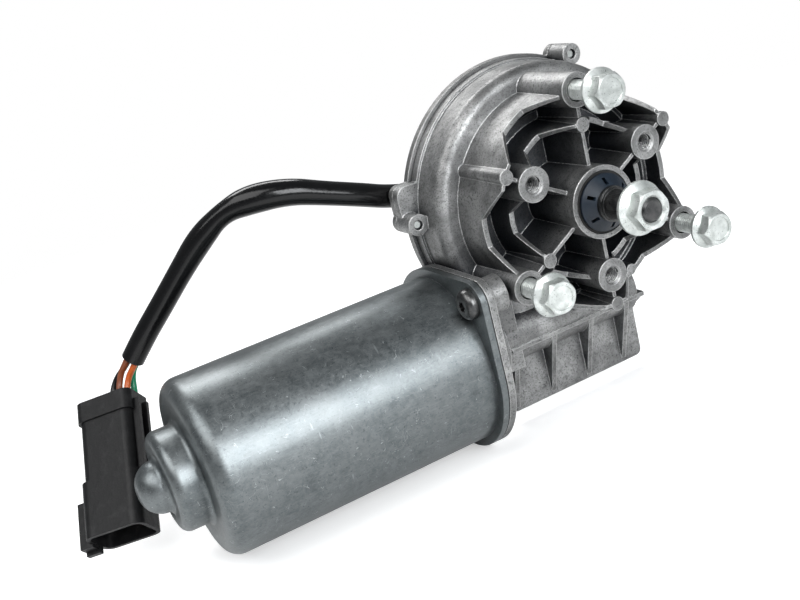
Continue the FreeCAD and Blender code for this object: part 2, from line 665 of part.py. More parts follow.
for angle in BOSS_ANGLES:
    x, z = on_circle("S.outer_circle", angle)
    hollows.append(cylinder(f"bolt_hole{angle}", "S.bolt_hole", "S.tapped_depth + 1", x, -1, z, TO_BACK))
    hollows.append(cylinder(f"bolt_mouth{angle}", "S.bolt_mouth", "S.bolt_mouth_depth + 1", x, -1, z,
                            TO_BACK))
for angle in TAPPED_ANGLES:
    x, z = on_circle("S.inner_circle", angle)
    hollows.append(cylinder(f"tapped_hole{angle}", "S.tapped_hole", "S.tapped_depth + 1", x, -1, z,
                            TO_BACK))
    hollows.append(cone(f"countersink{angle}", "S.tapped_hole + S.countersink", "S.tapped_hole",
                        "S.countersink_depth",
                        x, 0, z, TO_BACK))
for angle in EAR_ANGLES:
    x, z = on_circle("S.ear_circle", angle)
    hollows.append(cylinder(f"ear_hole{angle}", "S.ear_hole", "S.ear_length + 2", x,
                            "S.split - S.ear_length - 1", z,
                            TO_BACK))
for index, (y, z) in enumerate(SCREW_PLACES):
    hollows.append(cylinder(f"flange_hole{index}", "S.flange_screw + 0.05", "13", "-S.flange_face - 1", y,
                            z, TO_END))
finish(cut("gear_housing", casting, *hollows), "gear_housing")

# Cover: a lid with three ears, a raised dish and the cable outlet, which opens into the dish.
COVER_Y = "S.split + S.gasket"
lid = [cylinder("lid", "S.cover", "S.cover_plate", y=COVER_Y, turn=TO_BACK),
       cone("dish", "S.dish", "S.dish - 3", "S.cover_plate + S.dish_height", y=COVER_Y, turn=TO_BACK),
       cylinder("outlet_pipe", "S.outlet_boss", "S.outlet_x - S.gallery_x", "-S.outlet_x", "S.outlet_y",
                "S.outlet_z", TO_END),
       ball("outlet_elbow", "S.outlet_boss", "-S.gallery_x", "S.outlet_y", "S.outlet_z"),
       cylinder("outlet_stem", "S.outlet_boss", f"S.outlet_y - {COVER_Y} - S.cover_plate", "-S.gallery_x",
                f"{COVER_Y} + S.cover_plate", "S.outlet_z", TO_BACK),
       *lobe("cover_lobe", f"({COVER_Y})", f"({COVER_Y} + S.cover_plate)")]
for angle in EAR_ANGLES:
    x, z = on_circle("S.ear_circle", angle)
    lid.append(cylinder(f"cover_ear{angle}", "S.ear", "S.cover_plate", x, COVER_Y, z, TO_BACK))
    lid.append(block(f"cover_ear_root{angle}", ("-S.ear", COVER_Y, "S.drum - 4"),
                     ("S.ear", "S.split + S.gasket + S.cover_plate", "S.ear_circle"), around_shaft(angle)))
lid_hollows = [cone("dish_hollow", "S.dish - S.cover_wall", "S.dish - S.cover_wall - 2",
                    "S.cover_plate + S.dish_height - S.cover_wall",
                    y=COVER_Y, turn=TO_BACK),
               cylinder("outlet_hole", "S.grommet + 0.02", "S.outlet_x - S.gallery_x", "-S.outlet_x - 1",
                        "S.outlet_y",
                        "S.outlet_z", TO_END),
               cylinder("gallery_hole", "S.gallery", f"S.outlet_y + 3.5 - {COVER_Y} - S.cover_plate",
                        "-S.gallery_x",
                        f"{COVER_Y} + S.cover_plate", "S.outlet_z", TO_BACK)]
for angle in EAR_ANGLES:
    x, z = on_circle("S.ear_circle", angle)
    lid_hollows.append(cylinder(f"cover_ear_hole{angle}", "S.ear_hole", "S.cover_plate + 2", x, "S.split",
                                z, TO_BACK))
shell = cut("lid_shell", fuse("lid_solid", *lid), *lid_hollows)
dish_ribs = [block(f"dish_rib{angle}", ("-1", "S.split + S.gasket + S.cover_plate", "9"),
                   ("1", "S.split + S.gasket + S.cover_plate + S.dish_height + 1.2", "S.dish - 6"),
                   around_shaft(angle))
             for angle in range(0, 360, 60)]
post = cylinder("post", "8", "S.split + S.gasket + S.cover_plate + S.dish_height - S.shaft_rear - 1",
                y="S.shaft_rear + 0.3",
                turn=TO_BACK)
crown = cylinder("crown", "11", "S.dish_height + 1.2", y="S.split + S.gasket + S.cover_plate", turn=TO_BACK)
finish(fuse("back_cover", shell, post, crown, *dish_ribs), "back_cover")

finish(ring("gasket_ring", "S.rim_band - 0.6", "S.chamber + 0.4", "S.gasket", y="S.split", turn=TO_BACK),
       "cover_gasket")

screws = []
for angle in EAR_ANGLES:
    x, z = on_circle("S.ear_circle", angle)
    screws.append(turned(f"cover_screw{angle}", (
        (0, 0), ("S.cover_screw - 0.5", 0), ("S.cover_screw", 0.6),
        ("S.cover_screw", "S.cover_screw_length"),
        ("S.cover_screw_head", "S.cover_screw_length"),
        ("S.cover_screw_head", "S.cover_screw_length + 1.4"),
        ("S.cover_screw_head - 1", "S.cover_screw_length + 2.4"), (0, "S.cover_screw_length + 2.4")),
        x, "S.split + S.gasket + S.cover_plate - S.cover_screw_length", z, TO_BACK))
finish(group("cover_screws", *screws), "cover_screws")

# Output shaft and what is on it. Heights run from the rear end to the front.
SHAFT_FRONT = "(S.shaft_rear + S.nut_face + S.nut_height - 0.3)"
finish(turned("output_shaft", (
    (0, 0), ("S.shaft - 0.8", 0), ("S.shaft", 0.8), ("S.shaft", "S.shaft_rear + S.knurl_start"),
    ("S.shaft - 0.9", "S.shaft_rear + S.nut_face - 3"),
    ("S.nut_thread - 0.06", "S.shaft_rear + S.nut_face - 2"),
    ("S.nut_thread - 0.06", f"{SHAFT_FRONT} - 1"), ("S.nut_thread - 1.06", SHAFT_FRONT), (0, SHAFT_FRONT)),
    y="S.shaft_rear", turn=TO_FRONT), "output_shaft")
nut_flange = turned("nut_flange", (
    (0, 0), ("S.nut_flange", 0), ("S.nut_flange", 1.3), ("S.nut_flats / 2 - 0.4", 3.2), (0, 3.2)),
    y="-S.nut_face", turn=TO_FRONT)
nut_hexagon = common("nut_hexagon", hexagon("nut_prism", "S.nut_flats", "S.nut_height", y="-S.nut_face",
                                            turn=TO_FRONT),
                     cone("nut_chamfer", "S.nut_flats / 2 + 6.5", "S.nut_flats / 2 + 0.2", "S.nut_height",
                          y="-S.nut_face",
                          turn=TO_FRONT))
nut_solid = fuse("nut_solid", nut_flange, nut_hexagon)
nut_bore = cylinder("nut_bore", "S.nut_thread", "S.nut_height + 2", y="1 - S.nut_face", turn=TO_FRONT)
nut_sink = cone("nut_sink", "S.nut_thread", "S.nut_thread + 1", "1", y="-S.nut_face - S.nut_height + 1",
                turn=TO_FRONT)
finish(cut("output_nut", nut_solid, nut_bore, nut_sink), "output_nut")
finish(turned("retaining_ring", (
    ("S.shaft + 0.02", 0), ("S.collar", 0), ("S.collar", 1.8), ("S.collar - 0.6", 1.8),
    ("S.collar - 0.6", 3.2),
    ("S.shaft + 0.02", 3.2)), y="S.hub_face - 0.4 - S.dust_cap_height", turn=TO_FRONT), "retaining_ring")
cap_cone = turned("cap_cone", (
    ("S.dust_cap - 1.2", 0), ("S.dust_cap", 0), ("S.dust_cap", 0.8), ("S.shaft + 1.5", "S.dust_cap_height"),
    ("S.shaft + 0.02", "S.dust_cap_height"), ("S.shaft + 0.02", "S.dust_cap_height - 1"),
    ("S.shaft + 1.1", "S.dust_cap_height - 1")), y="S.hub_face - 0.4", turn=TO_FRONT)
cap_slots = [block(f"cap_slot{angle}", ("-0.75", "S.hub_face - S.dust_cap_height - 2", "S.shaft + 2"),
                   ("0.75", "S.hub_face + 1", "S.shaft + 4.6"),
                   around_shaft(angle)) for angle in range(30, 390, 60)]
finish(cut("dust_cap", cap_cone, *cap_slots), "dust_cap")
finish(turned("output_seal", (
    ("S.seal_seat - 2.1", 0), ("S.seal_seat - 0.02", 0), ("S.seal_seat - 0.02", "S.seal_depth - 0.8"),
    ("S.shaft + 0.1", "S.seal_depth - 0.8"), ("S.shaft + 0.1", "S.seal_depth - 3"),
    ("S.seal_seat - 2.1", "S.seal_depth - 3")),
    y="S.hub_face + 0.4", turn=TO_BACK), "output_seal")
BUSH = "S.shaft + S.running_gap"
finish(ring("front_bush", f"{BUSH} + S.bush_wall", BUSH, "S.bush_length",
            y="S.hub_face + S.seal_depth + 0.4",
            turn=TO_BACK), "front_bush")
finish(ring("rear_bush", f"{BUSH} + S.bush_wall", BUSH, "S.bush_length",
            y="S.chamber_front - S.bush_length",
            turn=TO_BACK), "rear_bush")

bolts = []
for angle in BOSS_ANGLES:
    x, z = on_circle("S.outer_circle", angle)
    shank = turned(f"bolt_shank{angle}", (
        (0, 0), ("S.bolt_thread - 1", 0), ("S.bolt_thread", 1), ("S.bolt_thread", "S.bolt_length"),
        ("S.bolt_flange", "S.bolt_length"), ("S.bolt_flange", "S.bolt_length + 1.1"),
        ("S.bolt_flats / 2 - 0.3", "S.bolt_length + 2.9"), (0, "S.bolt_length + 2.9")),
        x, "S.bolt_length - S.bolt_stand", z, TO_FRONT)
    head = common(f"bolt_head{angle}", hexagon(f"bolt_prism{angle}", "S.bolt_flats", "S.bolt_head", x,
                                               "-S.bolt_stand", z, TO_FRONT),
                  cone(f"bolt_chamfer{angle}", "S.bolt_flats / 2 + 6", "S.bolt_flats / 2 - 0.2",
                       "S.bolt_head",
                       x, "-S.bolt_stand", z, TO_FRONT))
    dimple = cylinder(f"bolt_dimple{angle}", "S.bolt_flats / 2 - 1.6", "1", x,
                      "-S.bolt_stand - S.bolt_head + 0.5", z, TO_FRONT)
    bolts.append(cut(f"bolt{angle}", fuse(f"bolt_solid{angle}", shank, head), dimple))
finish(group("mounting_bolts", *bolts), "mounting_bolts")

# Worm wheel: a moulded rim and web on a steel hub, with the park switch's contact disc behind.
WHEEL_FRONT = "(S.armature_y - S.wheel_width / 2)"
HUB_BACK = "(S.armature_y + S.wheel_width / 2)"


def tooth_half_angle(radius, base, pitch):
    """Half the angle that an involute tooth spans at this radius, less the gap on its flank."""
    def involute(at):
        pressure = math.acos(base / at)
        return math.tan(pressure) - pressure
    whole = math.pi / 2 / size("wheel_teeth")
    return whole + involute(pitch) - involute(radius) - size("backlash") / 2 / radius


def wheel_outline(turn, depth):
    """The toothed outline at one depth, with a gap between teeth at the worm's middle."""
    teeth = int(size("wheel_teeth"))
    module = size("tooth_module")
    pitch = module * teeth / 2
    base = pitch * math.cos(math.radians(20))
    radii = (pitch - 1.3 * module, pitch - 0.6 * module, pitch, pitch + 0.5 * module, pitch + 0.95 * module)
    points = []
    for tooth in range(teeth):
        middle = math.radians(-90) + (tooth + 0.5) * 2 * math.pi / teeth - turn
        halves = [tooth_half_angle(radius, base, pitch) for radius in radii]
        flank = [(radius, middle - half) for radius, half in zip(radii, halves)]
        flank += [(radius, middle + half) for radius, half in reversed(list(zip(radii, halves)))]
        points += [FreeCAD.Vector(radius * math.cos(angle), depth, radius * math.sin(angle)) for radius,
                   angle in flank]
    return Part.makePolygon(points + points[:1])


def wheel_shape():
    half = size("wheel_width") / 2
    middle = size("armature_y")
    lead = size("tooth_module") * math.pi
    wheel_pitch_radius = size("tooth_module") * size("wheel_teeth") / 2
    per_depth = lead / (2 * math.pi * size("worm_pitch_radius")) / wheel_pitch_radius
    outlines = [wheel_outline(per_depth * shift, middle + shift) for shift in (-half, 0, half)]
    return Part.makeLoft(outlines, True, True)


teeth_ring = feature("teeth_ring", wheel_shape())
wheel_bore = cylinder("wheel_bore", "S.wheel_hub + 0.02", "S.wheel_width + 2", y=f"{WHEEL_FRONT} - 1",
                      turn=TO_BACK)
WEB_CUT = "(S.wheel_width - S.wheel_web) / 2"
RIM_INSIDE = "(S.tooth_module * (S.wheel_teeth / 2 - 1.3) - 4)"
web_cut = cut("web_cut", cylinder("web_cut_outside", RIM_INSIDE, f"{WEB_CUT} + 1", y=f"{WHEEL_FRONT} - 1",
                                  turn=TO_BACK),
              cylinder("web_cut_inside", "S.wheel_hub + 3", f"{WEB_CUT} + 3", y=f"{WHEEL_FRONT} - 2",
                       turn=TO_BACK))
disc_seat = cylinder("disc_seat", "S.contact_track + 0.3", "S.contact_thickness + 1",
                     y=f"{HUB_BACK} - S.contact_thickness",
                     turn=TO_BACK)
finish(cut("worm_wheel", teeth_ring, wheel_bore, web_cut, disc_seat), "worm_wheel")
finish(ring("wheel_hub", "S.wheel_hub", "S.shaft + 0.02", "S.wheel_width - S.contact_thickness - 0.4",
            y=WHEEL_FRONT, turn=TO_BACK), "wheel_hub")
finish(ring("thrust_washer", "S.wheel_hub - 3", "S.shaft + S.running_gap",
            f"{WHEEL_FRONT} - S.chamber_front - 0.2",
            y="S.chamber_front + 0.1", turn=TO_BACK), "thrust_washer")
disc_ring = ring("disc_ring", "S.contact_track", "S.contact_hole", "S.contact_thickness",
                 y=f"{HUB_BACK} - S.contact_thickness",
                 turn=TO_BACK)
disc_gap = block("disc_gap", ("-9", f"{HUB_BACK} - 2", "S.contact_track - 6"),
                 ("9", f"{HUB_BACK} + 2", "S.contact_track + 4"))
finish(cut("contact_disc", disc_ring, disc_gap), "contact_disc")
clip_ring = ring("clip_ring", "S.shaft + 3", "S.shaft + 0.02", "1", y=f"{HUB_BACK} - 0.9", turn=TO_BACK)
clip_gap = block("clip_gap", ("-1.6", f"{HUB_BACK} - 2", "0"), ("1.6", f"{HUB_BACK} + 2", "S.shaft + 5"))
finish(cut("shaft_clip", clip_ring, clip_gap), "shaft_clip")

# Park switch: three sprung fingers on a moulded plate held in the cover.
switch_disc = ring("switch_disc", "S.dish - S.cover_wall - 1.5", "10", "S.switch_plate",
                   y="S.split + S.gasket - 0.4",
                   turn=TO_BACK)
switch_ears = [block(f"switch_ear{angle}", ("-5", COVER_Y, "S.dish - S.cover_wall - 4"),
                     ("5", "S.split + S.gasket + 1.6", "S.dish - S.cover_wall - 1.4"), around_shaft(angle))
               for angle in (90, 210, 330)]
CEILING = "(S.split + S.gasket + S.cover_plate + S.dish_height - S.cover_wall)"
switch_posts = []
for angle in (90, 210, 330):
    x, z = on_circle("32", angle)
    switch_posts.append(cylinder(f"switch_post{angle}", "3", f"{CEILING} - S.split", x, "S.split + 0.4", z,
                                 TO_BACK))
    bind(switch_posts[-1], Height=f"{CEILING} - S.split - 0.4")
finish(fuse("switch_plate", switch_disc, *switch_ears, *switch_posts), "switch_plate")
fingers = []
for index, radius in enumerate(("22", "28", "34")):
    blade = block(f"finger_blade{index}", ("-16", f"{HUB_BACK} + 0.3", f"{radius} - 1.5"),
                  ("0", f"{HUB_BACK} + 0.3 + S.contact_thickness", f"{radius} + 1.5"), around_shaft(200))
    stem = block(f"finger_stem{index}", ("-16", f"{HUB_BACK} + 0.3", f"{radius} - 1.5"),
                 ("-14.8", "S.split + S.gasket - 0.4", f"{radius} + 1.5"), around_shaft(200))
    fingers.append(fuse(f"finger{index}", blade, stem))
finish(group("contact_fingers", *fingers), "contact_fingers")

# Motor can: drawn steel with a flange, a bearing cup and a domed nose. Heights run from the tail.
CAN_FRONT = "(S.flange_face + S.flange_gasket)"
can_length = f"(S.can_tail - {CAN_FRONT})"
CUP_FACE = "S.cup_height"
NOSE_FACE = "(S.cup_height + S.nose_height)"
can = new_body("can_body", f"-{CAN_FRONT}", AXIS_Y, AXIS_Z, TO_TAIL)
revolve(can, ((0, 0), ("S.can", 0), ("S.can", can_length), ("S.cup", can_length),
              ("S.cup", f"{can_length} + S.cup_height"),
              ("S.nose", f"{can_length} + S.cup_height"), ("S.nose", f"{can_length} + {NOSE_FACE}"),
              (0, f"{can_length} + {NOSE_FACE}")), "PartDesign::Revolution")
round_corner(can, "S.can", can_length, "S.can_round")
round_corner(can, "S.cup", f"{can_length} + S.cup_height", "S.can_round - 3")
round_corner(can, "S.nose", f"{can_length} + {NOSE_FACE}", "S.nose - 1.5")
round_corner(can, "S.cup", can_length, "2.2")
round_corner(can, "S.nose", f"{can_length} + S.cup_height", "2.2")
bore = new_body("can_space", f"-{CAN_FRONT}", AXIS_Y, AXIS_Z, TO_TAIL)
WALL = "S.can_wall"
revolve(bore, ((0, 0), (f"S.can - {WALL}", 0), (f"S.can - {WALL}", f"{can_length} - {WALL}"),
               (f"S.cup - {WALL}", f"{can_length} - {WALL}"),
               (f"S.cup - {WALL}", f"{can_length} + S.cup_height - {WALL}"),
               (f"S.nose - {WALL}", f"{can_length} + S.cup_height - {WALL}"),
               (f"S.nose - {WALL}", f"{can_length} + {NOSE_FACE} - {WALL}"),
               (0, f"{can_length} + {NOSE_FACE} - {WALL}")),
        "PartDesign::Revolution")
round_corner(bore, f"S.can - {WALL}", f"{can_length} - {WALL}", "S.can_round - S.can_wall")
round_corner(bore, f"S.nose - {WALL}", f"{can_length} + {NOSE_FACE} - {WALL}", "S.nose - S.can_wall - 1.5")
collar = flange_plate("can_collar", 0, "S.can_flange", f"-{CAN_FRONT} - S.can_flange")
screw_holes = [cylinder(f"can_hole{index}", "S.flange_screw + 0.3", "S.can_flange + 2",
                        f"-{CAN_FRONT} - S.can_flange - 1", y, z,
                        TO_END) for index, (y, z) in enumerate(SCREW_PLACES)]
finish(cut("motor_can_shell", fuse("can_solid", can, collar), bore, *screw_holes), "motor_can")
gasket_plate = flange_plate("gasket_plate", "S.can - S.can_wall", "S.flange_gasket", f"-{CAN_FRONT}")
gasket_holes = [cylinder(f"gasket_hole{index}", "S.flange_screw + 0.3", "3", "-S.flange_face - 2", y, z,
                         TO_END)
                for index, (y, z) in enumerate(SCREW_PLACES)]
finish(cut("flange_gasket", gasket_plate, *gasket_holes), "flange_gasket")

flange_screws = []
for index, (y, z) in enumerate(SCREW_PLACES):
    screw = turned(f"flange_screw{index}", (
        (0, 0), ("S.flange_screw - 0.6", 0), ("S.flange_screw", 0.8),
        ("S.flange_screw", "S.flange_screw_length"),
        ("S.flange_screw_head", "S.flange_screw_length"),
        ("S.flange_screw_head", "S.flange_screw_length + S.flange_screw_rise"),
        (0, "S.flange_screw_length + S.flange_screw_rise")),
        f"-{CAN_FRONT} - S.can_flange + S.flange_screw_length", y, z, TO_TAIL,
        rounds=(("S.flange_screw_head", "S.flange_screw_length + S.flange_screw_rise",
                 "S.flange_screw_rise - 1.4"),))
    recess = fuse(f"screw_recess{index}",
                  cylinder(f"recess_core{index}", "1.9", "3",
                           f"-{CAN_FRONT} - S.can_flange - S.flange_screw_rise - 1",
                                                 y, z, TO_END),
                  *[cylinder(f"recess_lobe{index}_{lobe}", "0.62", "3",
                             f"-{CAN_FRONT} - S.can_flange - S.flange_screw_rise - 1",
                             f"{y} + 1.95 * cos({lobe} deg)", f"{z} + 1.95 * sin({lobe} deg)", TO_END)
                    for lobe in range(0, 360, 60)])
    flange_screws.append(cut(f"flange_screw_cut{index}", screw, recess))
finish(group("flange_screws", *flange_screws), "flange_screws")

# Armature: one shaft with the worm cut on its end, the core, the winding and the commutator.

def worm_thread():
    """The thread's trapezoid swept along a helix."""
    module = size("tooth_module")
    lead = math.pi * module
    pitch_radius = size("worm_pitch_radius")
    root = size("worm_root") - 0.4
    tip = pitch_radius + 0.95 * module
    slope = math.tan(math.radians(20))
    half = lead / 4 - size("backlash") / 2
    profile = [FreeCAD.Vector(radius, 0, side * (half - (radius - pitch_radius) * slope))
               for radius, side in ((root, -1), (tip, -1), (tip, 1), (root, 1))]
    outline = Part.makePolygon(profile + profile[:1])
    helix = Part.makeHelix(lead, lead * size("worm_turns"), pitch_radius)
    return Part.Wire(helix).makePipeShell([outline], True, True)


# The thread is turned so that it stands the same way at its middle for any number of turns.
thread_length = math.pi * size("tooth_module") * size("worm_turns")
thread_turn = TO_END.multiply(FreeCAD.Rotation(FreeCAD.Vector(0, 0, 1), 180 - 180 * size("worm_turns")))
thread_place = FreeCAD.Placement(
    FreeCAD.Vector(-thread_length / 2, size("armature_y"), -size("centre_distance")), thread_turn)
thread = feature("thread", worm_thread(), thread_place)
SHAFT_TAIL = "(S.can_tail + S.cup_height + 5)"
SHAFT_END = "(S.end_bush_start + S.end_bush_length)"
spindle = turned("spindle", (
    (0, 0), ("S.journal - 0.5", 0), ("S.journal", 0.5), ("S.journal", "S.cup_height + 9"),
    ("S.armature_shaft", "S.cup_height + 9"),
    ("S.armature_shaft", f"{SHAFT_TAIL} - 30"), ("S.worm_root", f"{SHAFT_TAIL} - 30"),
    ("S.worm_root", f"{SHAFT_TAIL} + S.end_bush_start - 0.4"),
    ("S.journal", f"{SHAFT_TAIL} + S.end_bush_start - 0.4"),
    ("S.journal", f"{SHAFT_TAIL} + {SHAFT_END}"), (0, f"{SHAFT_TAIL} + {SHAFT_END}")),
    f"-{SHAFT_TAIL}", AXIS_Y, AXIS_Z, TO_END)
finish(fuse("armature_shaft", spindle, thread), "armature_shaft")

CORE_X = "-S.core_start - S.core_length"
core_solid = ring("core_solid", "S.core", "S.armature_shaft + 0.02", "S.core_length", CORE_X, AXIS_Y,
                  AXIS_Z, TO_END)
slots = []
bars = []
for index in range(int(size("core_slots"))):
    angle = f"({index} * 360 / S.core_slots)"
    y = f"S.armature_y + S.slot_circle * cos({angle} * 1 deg)"
    z = f"-S.centre_distance + S.slot_circle * sin({angle} * 1 deg)"
    slots.append(cylinder(f"slot{index}", "S.slot", "S.core_length + 2", f"{CORE_X} - 1", y, z, TO_END))
    turn = FreeCAD.Rotation(FreeCAD.Vector(1, 0, 0), index * 360 / size("core_slots"))
    opening = block(f"slot_mouth{index}", ("-1", "S.slot_circle", "-1"),
                    ("S.core_length + 1", "S.core + 2", "1"), turn)
    slots.append(put(opening, CORE_X, AXIS_Y, AXIS_Z, turn))
    bars.append(cylinder(f"winding_bar{index}", "S.slot - S.winding_gap", "S.core_length + 2",
                         f"{CORE_X} - 1", y, z, TO_END))
finish(cut("armature_core", core_solid, *slots), "armature_core")
ends = []
for name, start in (("rear", f"{CORE_X} - S.winding_end - 0.3"), ("front", "-S.core_start + 0.3")):
    end = turned(f"winding_{name}", (
        ("S.slot_circle - 12", 0), ("S.slot_circle + 3", 0), ("S.slot_circle + 3", "S.winding_end"),
        ("S.slot_circle - 12", "S.winding_end")), start, AXIS_Y, AXIS_Z, TO_END,
        rounds=(("S.slot_circle + 3", 0 if name == "rear" else "S.winding_end", "3"),))
    ends.append(end)
finish(fuse("armature_winding", *ends, *bars), "armature_winding")
COMMUTATOR_X = "-S.commutator_start - S.commutator_length"
finish(turned("commutator", (
    ("S.armature_shaft + 0.02", 0), ("S.commutator + 1.8", 0), ("S.commutator + 1.8", 2.5),
    ("S.commutator", 2.5),
    ("S.commutator", "S.commutator_length"), ("S.armature_shaft + 0.02", "S.commutator_length")),
    COMMUTATOR_X, AXIS_Y, AXIS_Z, TO_END), "commutator")

magnet_ring = ring("magnet_ring", "S.can - S.can_wall - S.magnet_gap", "S.magnet_inner", "S.magnet_length",
                   "-S.core_start - S.core_length / 2 - S.magnet_length / 2", AXIS_Y, AXIS_Z, TO_END)
gap_half = (180 - size("magnet_span")) / 2


def gap_sector(side, half_angle):
    """A wedge from the armature's axis through the space between the magnets, towards +Y or -Y."""
    reach = 1.5 * size("can")
    spread = reach * math.tan(math.radians(half_angle))
    corners = [FreeCAD.Vector(0, 0, 0), FreeCAD.Vector(0, side * reach, -spread),
               FreeCAD.Vector(0, side * reach, spread)]
    face = Part.Face(Part.makePolygon(corners + corners[:1]))
    return face.extrude(FreeCAD.Vector(size("magnet_length") + 4, 0, 0))


gap_place = FreeCAD.Placement(FreeCAD.Vector(
    -size("core_start") - size("core_length") / 2 - size("magnet_length") / 2 - 2, size("armature_y"),
    -size("centre_distance")), UPRIGHT)
gap_sectors = [gap_sector(side, gap_half) for side in (1, -1)]
magnet_gaps = feature("magnet_gaps", Part.makeCompound(gap_sectors), gap_place)
finish(cut("field_magnets", magnet_ring, magnet_gaps), "field_magnets")
clip_ring = ring("magnet_clip_ring", "S.can - S.can_wall - S.magnet_gap", "S.can - S.can_wall - 1.4",
                 "S.magnet_length - 4",
                 "-S.core_start - S.core_length / 2 - S.magnet_length / 2 + 2", AXIS_Y, AXIS_Z, TO_END)
narrow_sectors = [gap_sector(side, gap_half - 0.6) for side in (1, -1)]
clip_sectors = feature("clip_sectors", Part.makeCompound(narrow_sectors), gap_place)
finish(common("magnet_clips", clip_ring, clip_sectors), "magnet_clips")

# Front ball bearing, its groove cut by a torus, and the bushes at both shaft ends.
BEARING_X = "-S.bearing_start"
BALL_CIRCLE = "((S.bearing - S.bearing_ring + S.armature_shaft + S.bearing_ring) / 2)"
groove = doc.addObject("Part::Torus", "ball_groove")
bind(groove, Radius1=BALL_CIRCLE, Radius2="S.ball + S.ball_gap")
put(groove, f"{BEARING_X} + S.bearing_width / 2", AXIS_Y, AXIS_Z, TO_END)
outer_ring = ring("outer_ring_blank", "S.bearing", "S.bearing - S.bearing_ring", "S.bearing_width",
                  BEARING_X, AXIS_Y,
                  AXIS_Z, TO_END)
finish(cut("bearing_outer_ring", outer_ring, groove), "bearing_outer_ring")
inner_ring = ring("inner_ring_blank", "S.armature_shaft + S.bearing_ring", "S.armature_shaft + 0.02",
                  "S.bearing_width",
                  BEARING_X, AXIS_Y, AXIS_Z, TO_END)
groove_copy = doc.addObject("Part::Torus", "inner_groove")
bind(groove_copy, Radius1=BALL_CIRCLE, Radius2="S.ball + S.ball_gap")
put(groove_copy, f"{BEARING_X} + S.bearing_width / 2", AXIS_Y, AXIS_Z, TO_END)
finish(cut("bearing_inner_ring", inner_ring, groove_copy), "bearing_inner_ring")
rolling = []
for index in range(int(size("balls"))):
    angle = f"({index} * 360 / S.balls) * 1 deg"
    rolling.append(ball(f"ball{index}", "S.ball", f"{BEARING_X} + S.bearing_width / 2",
                        f"S.armature_y + {BALL_CIRCLE} * cos({angle})",
                        f"-S.centre_distance + {BALL_CIRCLE} * sin({angle})"))
finish(group("bearing_balls", *rolling), "bearing_balls")
finish(ring("end_bush", "S.journal + S.running_gap + 2.5", "S.journal + S.running_gap", "S.end_bush_length",
            "S.end_bush_start", AXIS_Y, AXIS_Z, TO_END), "end_bush")
thrust_x = f"({SHAFT_END} + 0.2)"
thrust_body = turned("thrust_body", (
    (0, 0), ("S.journal + 2.5", 0), ("S.journal + 2.5", f"S.tube_end - {thrust_x} + 0.6"),
    (0, f"S.tube_end - {thrust_x} + 0.6")),
    thrust_x, AXIS_Y, AXIS_Z, TO_END)
socket = hexagon("thrust_socket", "5", "3", "S.tube_end - 1.6", AXIS_Y, AXIS_Z, TO_END)
finish(cut("thrust_screw", thrust_body, socket), "thrust_screw")
BUSH_X = "(-S.can_tail - S.cup_height + S.can_wall)"
finish(turned("tail_bush", (
    ("S.journal + S.running_gap", 0), ("S.tail_bush - 1", 0),
    ("S.tail_bush - 0.2", "S.tail_bush_length * 0.25"),
    ("S.tail_bush", "S.tail_bush_length * 0.5"), ("S.tail_bush - 0.2", "S.tail_bush_length * 0.75"),
    ("S.tail_bush - 1", "S.tail_bush_length"), ("S.journal + S.running_gap", "S.tail_bush_length")),
    BUSH_X, AXIS_Y, AXIS_Z, TO_END), "tail_bush")
clip_blank = ring("tail_clip_blank", "S.cup - S.can_wall - 0.02", "S.tail_bush - 1.5", "1.2",
                  f"{BUSH_X} + S.tail_bush_length",
                  AXIS_Y, AXIS_Z, TO_END)
finish(cut("tail_bush_clip", clip_blank,
           cone("tail_clip_seat", "S.tail_bush - 0.9", "S.tail_bush - 2", "1.2",
                f"{BUSH_X} + S.tail_bush_length", AXIS_Y, AXIS_Z,
                TO_END)), "tail_bush_clip")
PAD_X = f"(-{SHAFT_TAIL} - 0.2)"
finish(ring("tail_thrust_pad", "S.journal - 0.6", 0,
            f"-0.65 + S.can_tail + {NOSE_FACE} - S.can_wall - {SHAFT_TAIL}", PAD_X,
            AXIS_Y, AXIS_Z, TO_TAIL), "tail_thrust_pad")

# Brush gear: a plate in the can's mouth with three holders, each with a brush and a coil spring.
PLATE_X = "(-S.brush_plate_face - S.brush_plate_thickness)"
plate_disc = ring("plate_disc", "S.brush_plate", "S.commutator + 2.5", "S.brush_plate_thickness", PLATE_X,
                  AXIS_Y, AXIS_Z,
                  TO_END)
plate_feet = [cylinder(f"plate_foot{angle}", "3.5", "S.brush_plate_face - S.flange_face + 1",
                       "-S.brush_plate_face - 1",
                       f"S.armature_y + 29 * cos({angle} deg)",
                       f"-S.centre_distance + 29 * sin({angle} deg)", TO_END)
              for angle in (30, 150, 270)]
finish(fuse("brush_plate", plate_disc, *plate_feet), "brush_plate")
BRUSH_X = f"({PLATE_X} - S.holder_wall - S.brush_gap - S.brush_length / 2)"
BRUSH_FACE = "(S.commutator + S.brush_gap)"
BRUSH_TURNS = (("common", 180), ("low", 0), ("high", -90))
holders = []
